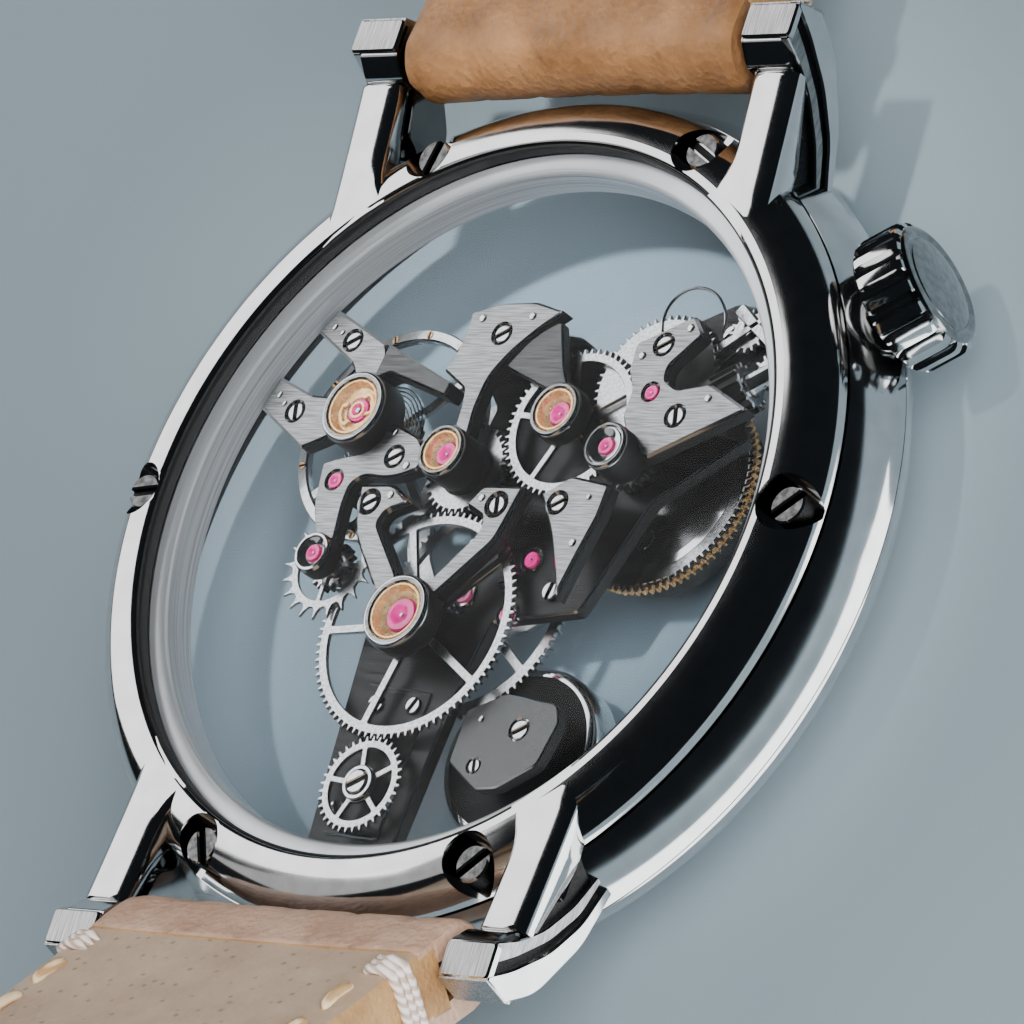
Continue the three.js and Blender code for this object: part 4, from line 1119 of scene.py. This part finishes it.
def keyless_works():
    """Small levers, wheels and springs round the winding stem, and the setting spring's wire loop."""
    build = Build()
    for x, y, radius, teeth in ((11.1, 9.6, 1.0, 16), (12.9, 7.7, 0.8, 12)):
        build.merge(gear((x, y, teeth, 0.1), 5.55, 5.8, bevel=0.03, pitch=radius))
        build.merge(screw(x, y, 0.4, 5.7, 6.05, x, 0.32, 0.12, (3, 1, 4)))
    for start, end, width in (((10.4, 10.6), (13.6, 8.2), 0.3), ((9.9, 8.6), (12.2, 10.2), 0.24)):
        a, b = Vector(start), Vector(end)
        side = (b - a).normalized().yx * width
        side.x = -side.x
        lever = [tuple(a - side), tuple(b - side * 0.6), tuple(b + side * 0.6), tuple(a + side)]
        build.merge(prism(rounded(lever, 0.15), 5.85, 6.1, bevel=0.05))
    piece("keyless_levers", build, STEELS, "case")
    rows = []
    for k in range(41):
        t = k / 40
        a = math.radians(200 - 215 * t)
        x, y = 8.75 + 1.75 * math.cos(a), 9.5 + 1.55 * math.sin(a)
        z = 6.6 + 0.5 * math.sin(math.pi * t)
        rows.append([(x + 0.07 * math.cos(b) * math.cos(a), y + 0.07 * math.cos(b) * math.sin(a),
                      z + 0.07 * math.sin(b))
                     for b in [TURN * i / 8 for i in range(8)]])
    piece("setting_spring_wire", loft(rows), [SCREW_TOP], "case")
    tooth = [(r * math.cos(a), r * math.sin(a)) for a, r in
             [(TURN * (k + s) / 14, r) for k in range(14) for s, r in ((-0.2, 0.98), (-0.1, 1.18), (0.1,
                 1.18), (0.2, 0.98))]]
    pinion = Build().merge(prism(tooth, 12.52, 13.98, [circle(0, 0, 0.56, 24)], 0.06), along_crown)
    piece("winding_pinion_gear", pinion, STEELS, "winding_arbor", ["winding_pinion"])


DARK_BAR = metal("blank_bar_brushed", grey(0.06), grey(0.14), 0.28, (600, 14000, 600), 0.3, 0.45)


def plain_nodes():
    """CAD nodes whose shape stays: each keeps its mesh and gets a worked finish."""
    looks = {"pallet_fork": SCREW_TOP, "winding_stem": SCREW_TOP, "spring_bar_12": SCREW_TOP,
             "spring_bar_6": SCREW_TOP, "hour_ring": WHEEL_TOP, "hour_hand": BRIDGE_EDGE,
             "minute_hand": BRIDGE_EDGE, "buckle_bar": SCREW_TOP}
    for name, material in looks.items():
        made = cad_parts[name]
        made.data.materials.clear()
        made.data.materials.append(material)


# ---- Strap ----

BAR_Y, BAR_Z = 21.9, 9.1
SHORT_LENGTH, LONG_LENGTH = 75.0, 115.0
STRAP_STEP = 0.5


def leather(name, low, high, rough, grain=2600, pores=None, strength=0.35):
    """Leather: clouded colour, fine creases, and pores where the grain side is buffed."""
    material, nodes, links, shader = new_material(name)
    place = coordinates(nodes, links, (1, 1, 1))
    cloud = noise(nodes, links, place, 260, 6, 0.65)
    tone = ramp(nodes, links, cloud, [(0.3, low), (0.72, high)])
    cells = nodes.new("ShaderNodeTexVoronoi")
    cells.inputs["Scale"].default_value = grain
    links.new(place, cells.inputs["Vector"])
    fine = noise(nodes, links, place, 5200, 4, 0.7)
    height = nodes.new("ShaderNodeMath")
    height.operation = "ADD"
    links.new(cells.outputs["Distance"], height.inputs[0])
    links.new(fine, height.inputs[1])
    if pores:
        dots = nodes.new("ShaderNodeTexVoronoi")
        dots.inputs["Scale"].default_value = 1250
        dots.inputs["Randomness"].default_value = 0.75
        links.new(place, dots.inputs["Vector"])
        shade = ramp(nodes, links, dots.outputs["Distance"], [(0.1, (0.45, 0.4, 0.36)), (0.2, (1, 1, 1))])
        mix = nodes.new("ShaderNodeMix")
        mix.data_type = "RGBA"
        mix.blend_type = "MULTIPLY"
        mix.inputs["Factor"].default_value = pores
        links.new(tone, mix.inputs["A"])
        links.new(shade, mix.inputs["B"])
        tone = mix.outputs["Result"]
        shader.inputs["Sheen Weight"].default_value = 0.25
        shader.inputs["Sheen Roughness"].default_value = 0.5
    links.new(tone, shader.inputs["Base Color"])
    links.new(between(nodes, links, cloud, rough, rough + 0.2), shader.inputs["Roughness"])
    bump(nodes, links, shader, height.outputs["Value"], strength, 0.00006)
    return material


def thread(name, low, high):
    """Waxed twisted thread: a diagonal wave makes the strands."""
    material, nodes, links, shader = new_material(name)
    wave = nodes.new("ShaderNodeTexWave")
    wave.bands_direction = "DIAGONAL"
    wave.inputs["Scale"].default_value = 900
    wave.inputs["Distortion"].default_value = 1.5
    links.new(coordinates(nodes, links, (1, 1, 1)), wave.inputs["Vector"])
    tone = ramp(nodes, links, wave.outputs["Fac"], [(0.2, low), (0.7, high)])
    links.new(tone, shader.inputs["Base Color"])
    shader.inputs["Roughness"].default_value = 0.55
    bump(nodes, links, shader, wave.outputs["Fac"], 0.7, 0.00008)
    return material


TAN = leather("tan_leather", (0.105, 0.045, 0.015), (0.30, 0.148, 0.062), 0.36, strength=0.9)
BLUSH = leather("pale_leather", (0.40, 0.22, 0.14), (0.64, 0.42, 0.30), 0.42, strength=0.9)
NUBUCK = leather("nubuck_lining", (0.34, 0.21, 0.12), (0.50, 0.35, 0.22), 0.75, pores=0.9)
RAW_EDGE = leather("raw_edge", (0.28, 0.13, 0.045), (0.55, 0.33, 0.14), 0.7, 3800, strength=0.7)
THREAD = thread("waxed_thread", (0.50, 0.30, 0.13), (0.85, 0.62, 0.38))
PALE_THREAD = thread("pale_thread", (0.55, 0.40, 0.32), (0.90, 0.76, 0.66))
# Material numbers on the strap: 0 leather, 1 lining, 2 cut edge, 3 stitches, 4 pale fold, 5 wraps.
LEATHERS = [TAN, NUBUCK, RAW_EDGE, THREAD, BLUSH, PALE_THREAD]


def strap_line(length, slope, bends):
    """Middle points of a strap: (out, up, slope, at), from the bar to its end."""
    def slope_at(at):
        total = slope
        for start, end, angle in bends:
            total += angle * min(1.0, max(0.0, (at - start) / (end - start)))
        return math.radians(total)

    line = [(0.0, 0.0, slope_at(0), 0.0)]
    step = STRAP_STEP
    for _ in range(round(length / step)):
        out, up, _, at = line[-1]
        middle = slope_at(at + step / 2)
        line.append((out + step * math.cos(middle), up + step * math.sin(middle), slope_at(at + step),
                     at + step))
    return line


SHORT_LINE = strap_line(SHORT_LENGTH, 40, [(8, SHORT_LENGTH, 85)])
LONG_LINE = strap_line(LONG_LENGTH, -6, [(4, 16, -17.6), (19.6, 33.6, 23.6)])


def on_strap(line, side, at, across, along, normal):
    """A point given in the strap's own directions at a length along it."""
    share = at / STRAP_STEP
    i = min(len(line) - 2, max(0, int(share)))
    t = share - i
    out, up, slope = [a + (b - a) * t for a, b in zip(line[i][:3], line[i + 1][:3])]
    c, s = math.cos(slope), math.sin(slope)
    return (across, side * (BAR_Y + out + along * c - normal * s), BAR_Z + up + along * s + normal * c)


def half_width(line, at):
    return 9.6 - 1.6 * at / line[-1][3]


def thickness(at):
    return 3.9 - 1.3 * min(1.0, at / 34)


def relief(x, along, seed, size=0.1):
    wide = math.sin(1.9 * x + 2.2 * math.sin(0.6 * along + seed) + seed)
    fine = math.sin(5.3 * x + 1.7 * math.sin(1.9 * along + 1.3 * seed) + 0.8 * x * math.sin(seed + 0.3 * x))
    return size * (0.55 * wide + 0.45 * fine)


def strap_section(half, thick, puff):
    """One section of the strap, as (across, normal, material): lining above, leather below, cut sides."""
    edge = half - 0.22
    top, low = thick / 2, -thick / 2
    points = [(half, 0.15, 2), (half, top - 0.3, 2), (half - 0.08, top - 0.08, 1), (edge - 0.2, top, 1)]
    count = 14
    points += [(edge * (1 - 2 * k / count), top + 0.04, 1) for k in range(1, count)]
    points += [(-edge + 0.2, top, 1), (-half + 0.08, top - 0.08, 2), (-half, top - 0.3, 2), (-half, 0.15,
        2)]
    points += [(-half, low + 0.75, 0), (-half + 0.12, low + 0.42, 0), (-half + 0.5, low + 0.18, 0)]
    for k in range(1, count):
        u = -1 + 2 * k / count
        points.append((edge * u, low + puff * u ** 6, 0))
    points += [(half - 0.5, low + 0.18, 0), (half - 0.12, low + 0.42, 0), (half, low + 0.75, 2)]
    return points


def strap_body(line, side, start, end, pointed):
    stations = []
    at = start
    while at < end - 0.01:
        stations.append(at)
        at += 0.6 if at < 20 or at > end - 8 else 1.2
    stations.append(end)
    rows, mats = [], []
    for at in stations:
        tail = max(0.0, at - end + 6) / 6 if pointed else 0.0
        half = half_width(line, at) * (1 - 0.55 * tail * tail)
        taper = 0.0 if not pointed else 0.25 * max(0.0, tail - 0.8) / 0.2
        row = []
        section = strap_section(half, thickness(at) - 0.1 - taper, 0.3)
        for across, normal, _ in section:
            lift = 0.4 * relief(across, at, side, 0.07) if abs(across) < half - 0.6 else 0.0
            row.append(on_strap(line, side, at, across, 0, normal - abs(lift) * math.copysign(1, normal)))
        rows.append(row)
        mats = [m for _, _, m in section]
    return loft(rows, lambda r, i: mats[i])


def fold(line, side, radius, bore, x0, x1, at, reach, under, smooth_mat, seed, turned=1):
    """Leather folded round a bar: out of the outer side, round the bar, and cut off on the lining."""
    rows = []
    count = max(6, int((x1 - x0) / 0.4))
    for k in range(count + 1):
        x = x0 + (x1 - x0) * k / count
        end_soft = min(1.0, (min(x - x0, x1 - x) + 0.05) / 0.45) ** 0.5
        hollow = 0.3 * (1 - (x / 9.6) ** 2) if radius > 2 else 0.0
        row = []
        grow = radius - 0.28 * (1 - end_soft)
        outer = [(under, -grow + 0.15), (0.6 * under, -grow + 0.04)]
        for j in range(19):
            a = math.radians(-90 - 10 * j)
            outer.append((grow * math.cos(a), grow * math.sin(a)))
        outer += [(0.45 * reach, grow - 0.01), (0.8 * reach, grow - 0.07), (reach - 0.08, grow - 0.14),
                  (reach + 0.05 * math.sin(3 * x), grow - 0.3)]
        for j, (along, normal) in enumerate(outer):
            crease = relief(x, 0.35 * j, seed, 0.14) if 1 < j < len(outer) - 2 else 0.0
            size = 1 - max(0.0, crease) / radius * 0.9
            row.append(on_strap(line, side, at, x, turned * (along * size + hollow * 0.6), normal * size))
        inner = [(reach, bore + 0.12)]
        inner += [(bore * math.cos(math.radians(b)), bore * math.sin(math.radians(b))) for b in range(60,
            301, 20)]
        inner += [(under, -bore - 0.1)]
        for along, normal in inner:
            row.append(on_strap(line, side, at, x, turned * along, normal))
        rows.append(row)
    last = 23
    return loft(rows, lambda r, i: smooth_mat if i < last else 2)


def rope(points, radius):
    """A thick thread along a path, pulled in at both ends."""
    count = 8
    rows = []
    total = len(points) - 1
    for k, point in enumerate(points):
        here = Vector(point)
        before, after = Vector(points[max(0, k - 1)]), Vector(points[min(total, k + 1)])
        ahead = (after - before).normalized()
        side = ahead.cross(Vector((0.3, 0.2, 1))).normalized()
        up = side.cross(ahead).normalized()
        size = radius * (0.35 if k in (0, total) else 1.0)
        rows.append([tuple(here + side * size * math.cos(TURN * j / count) + up * size
                           * math.sin(TURN * j / count)) for j in range(count)])
    return loft(rows, 3)


def stitches(line, side, start, end):
    """A stitch every 3 mm along both edges, on both faces."""
    build = Build()
    at = start
    while at < end:
        for across in (-1, 1):
            edge = half_width(line, at + 1) - 1.15
            for face in (1, -1):
                points = []
                for k in range(7):
                    t = k / 6
                    sunk = -0.22 + 0.36 * math.sin(math.pi * t) ** 0.6
                    level = thickness(at) / 2 - 0.02 + sunk if face > 0 else -thickness(at) / 2 + 0.42 - sunk
                    slant = 0.12 * (t - 0.5)
                    points.append(on_strap(line, side, at + 2.3 * t, across * (edge + slant), 0, level))
                build.merge(rope(points, 0.25))
        at += 3.0
    return build


def wraps(line, side, at):
    """The heavy thread wound round each edge where the fold is tied down."""
    build = Build()
    for across in (-1, 1):
        for shift in (-0.42, 0.0, 0.42):
            half = half_width(line, at)
            top = thickness(at) / 2
            path = [(half - 1.5, top - 0.1), (half - 1.15, top + 0.14), (half - 0.5, top + 0.16),
                    (half + 0.04, top - 0.1), (half + 0.16, top - 0.7), (half + 0.18, 0), (half + 0.14,
                        0.7 - top),
                    (half + 0.02, 0.15 - top), (half - 0.5, 0.05 - top), (half - 0.9, 0.3 - top)]
            points = [on_strap(line, side, at + shift, across * u, 0, n) for u, n in path]
            build.merge(rope(points, 0.24), mat=5)
    return build


def box_solid(line, side, at, size, centre):
    (w, l, h), (cu, ca, cn) = size, centre
    outline = [(-w / 2, -l / 2), (w / 2, -l / 2), (w / 2, l / 2), (-w / 2, l / 2)]
    flat = prism([(u + cu, v + ca) for u, v in outline], cn - h / 2, cn + h / 2, bevel=0.01)
    return Build().merge(flat, lambda v: on_strap(line, side, at, v[0], v[1], v[2]))


def straps():
    holes = []
    for i in range(7):
        tube = lathe([(0, -4), (0.8, -4), (0.8, 4), (0, 4)], segments=32)
        at = LONG_LENGTH - 22 - 7 * i
        holes.append(Build().merge(tube, lambda v, at=at: on_strap(LONG_LINE, 1, at, v[0], v[1], v[2])))
    body = strap_body(LONG_LINE, 1, 1.25, LONG_LENGTH, True)
    piece("strap_long_body", body, LEATHERS, "strap_long", ["strap_long"], 50, holes)
    roll = fold(LONG_LINE, 1, 2.1, 0.97, -9.55, 9.55, 0.0, 2.5, 4.0, 0, 1.3)
    piece("strap_long_fold", roll, LEATHERS, "strap_long", ["strap_long"], 60)
    build = stitches(LONG_LINE, 1, 5.0, LONG_LENGTH - 9)
    build.merge(wraps(LONG_LINE, 1, 3.6))
    piece("strap_long_thread", build, LEATHERS, "strap_long", (), 60)
    slot = box_solid(SHORT_LINE, -1, SHORT_LENGTH, (2.4, 8.4, 8), (0, -1.6, 0))
    body = strap_body(SHORT_LINE, -1, 1.25, SHORT_LENGTH - 1.0, False)
    piece("strap_short_body", body, LEATHERS, "strap_short", ["strap_short"], 50, [slot])
    roll = fold(SHORT_LINE, -1, 2.1, 0.97, -9.55, 9.55, 0.0, 2.3, 4.0, 4, 2.1)
    piece("strap_short_fold", roll, LEATHERS, "strap_short", ["strap_short"], 60)
    end = Build()
    for x0, x1 in ((-7.9, -1.25), (1.25, 7.9)):
        end.merge(fold(SHORT_LINE, -1, 1.55, 0.8, x0, x1, SHORT_LENGTH, 1.6, 2.6, 0, 0.7, -1))
    piece("strap_short_end", end, LEATHERS, "strap_short", ["strap_short"], 60)
    build = stitches(SHORT_LINE, -1, 5.0, SHORT_LENGTH - 8)
    build.merge(wraps(SHORT_LINE, -1, 3.6))
    piece("strap_short_thread", build, LEATHERS, "strap_short", (), 60)


def keeper(name, node, body, at):
    """A leather loop: a soft strip carried round a rounded rectangle."""
    half = half_width(SHORT_LINE, at) + 0.35 + 0.45
    tall = 3.1 + 0.45
    path = rounded([(-half, -tall), (half, -tall), (half, tall), (-half, tall)], 1.2, 6)
    outward = inset(path, -1.0)
    rows = []
    for (u, n), (ou, on) in zip(path, outward):
        du, dn = ou - u, on - n
        reach = math.hypot(du, dn)
        du, dn = du / reach, dn / reach
        row = []
        for lift, along in ((-0.4, -2.1), (-0.42, 0), (-0.4, 2.1), (-0.1, 2.22), (0.25, 2.15), (0.42, 1.8),
                            (0.45, 0),
                            (0.42, -1.8), (0.25, -2.15), (-0.1, -2.22)):
            row.append(on_strap(SHORT_LINE, -1, at, u + du * lift, along, n + dn * lift - 1.6))
        rows.append(row)
    build = grid(rows + [rows[0]], True, lambda r, i: 2 if i in (2, 3, 8, 9) else 0)
    piece(name, weld(build, 4), LEATHERS, body, [node], 50)


def buckle():
    """The buckle's frame and tongue, drawn in the directions of the strap at its end."""
    def place(v):
        return on_strap(SHORT_LINE, -1, SHORT_LENGTH, v[0], v[1], v[2])

    frame_line = [(-10.2, -1.1), (-10.2, 3.0), (-10.2, 7.0), (-10.15, 8.8)]
    for k in range(13):
        u = -9.6 + 19.2 * k / 12
        frame_line.append((u, 9.7 + 1.4 * (1 - (u / 10.0) ** 2)))
    frame_line += [(10.15, 8.8), (10.2, 7.0), (10.2, 3.0), (10.2, -1.1)]
    rows = []
    last = len(frame_line) - 1
    for k, point in enumerate(frame_line):
        before, after = Vector(frame_line[max(0, k - 1)]), Vector(frame_line[min(last, k + 1)])
        ahead = (after - before).normalized()
        out = Vector((ahead.y, -ahead.x))
        row = []
        for j in range(20):
            a = TURN * j / 20
            c, s = math.cos(a), math.sin(a)
            wide = 0.78 * math.copysign(abs(c) ** 0.6, c)
            high = 0.88 * math.copysign(abs(s) ** 0.6, s)
            row.append(place((point[0] + out.x * wide, point[1] + out.y * wide, high)))
        rows.append(row)
    holes = Build().merge(lathe([(0, -10.3), (0.45, -10.3), (0.45, 10.3), (0, 10.3)], segments=24),
                          lambda v: place((v[2], v[0], v[1])))
    piece("buckle_frame_loop", loft(rows), [POLISHED], "buckle_frame", ["buckle_frame"],
          40, [holes])
    rows = []
    for k in range(25):
        t = k / 24
        along = 0.9 + 11.6 * t
        half = 0.88 - 0.3 * t
        if t > 0.9:
            half *= max(0.25, 1 - ((t - 0.9) / 0.1) ** 2)
        row = []
        for j in range(16):
            a = TURN * j / 16
            c, s = math.cos(a), math.sin(a)
            row.append(place((half * math.copysign(abs(c) ** 0.55, c), along,
                              -1.45 + 0.42 * math.copysign(abs(s) ** 0.7, s))))
        rows.append(row)
    build = loft(rows)
    eye = lathe([(0.84, -0.85), (1.5, -0.85), (1.58, -0.75), (1.58, 0.75), (1.5, 0.85), (0.84, 0.85)],
                segments=48)
    build.merge(eye, lambda v: place((v[2], v[0], v[1])))
    piece("buckle_tongue_bar", build, [POLISHED], "buckle_tongue", ["buckle_tongue"], 40)


set_camera()
set_light()
set_floor()
back_ring()
ring_screws()
case_middle()
front_side()
back_side()
crown_piece()
train()
bridges()
main_plate()
gold_cup("balance_cup", "balance_chaton", BALANCE, 1.8, 8.03, 0.62)
gold_cup("centre_cup", "centre_chaton", CENTRE, 1.3, 8.03, 0.6)
gold_cup("upper_cup", "upper_chaton", UPPER, 1.37, 7.38, 0.6)
gold_cup("lower_cup", "lower_chaton", LARGE, 1.8, 7.58, 0.85)
keyless_works()
plain_nodes()
straps()
keeper("keeper_fixed_loop", "keeper_fixed", "strap_short", 64)
keeper("keeper_loose_loop", "keeper_loose", "keeper_loose", 50)
buckle()
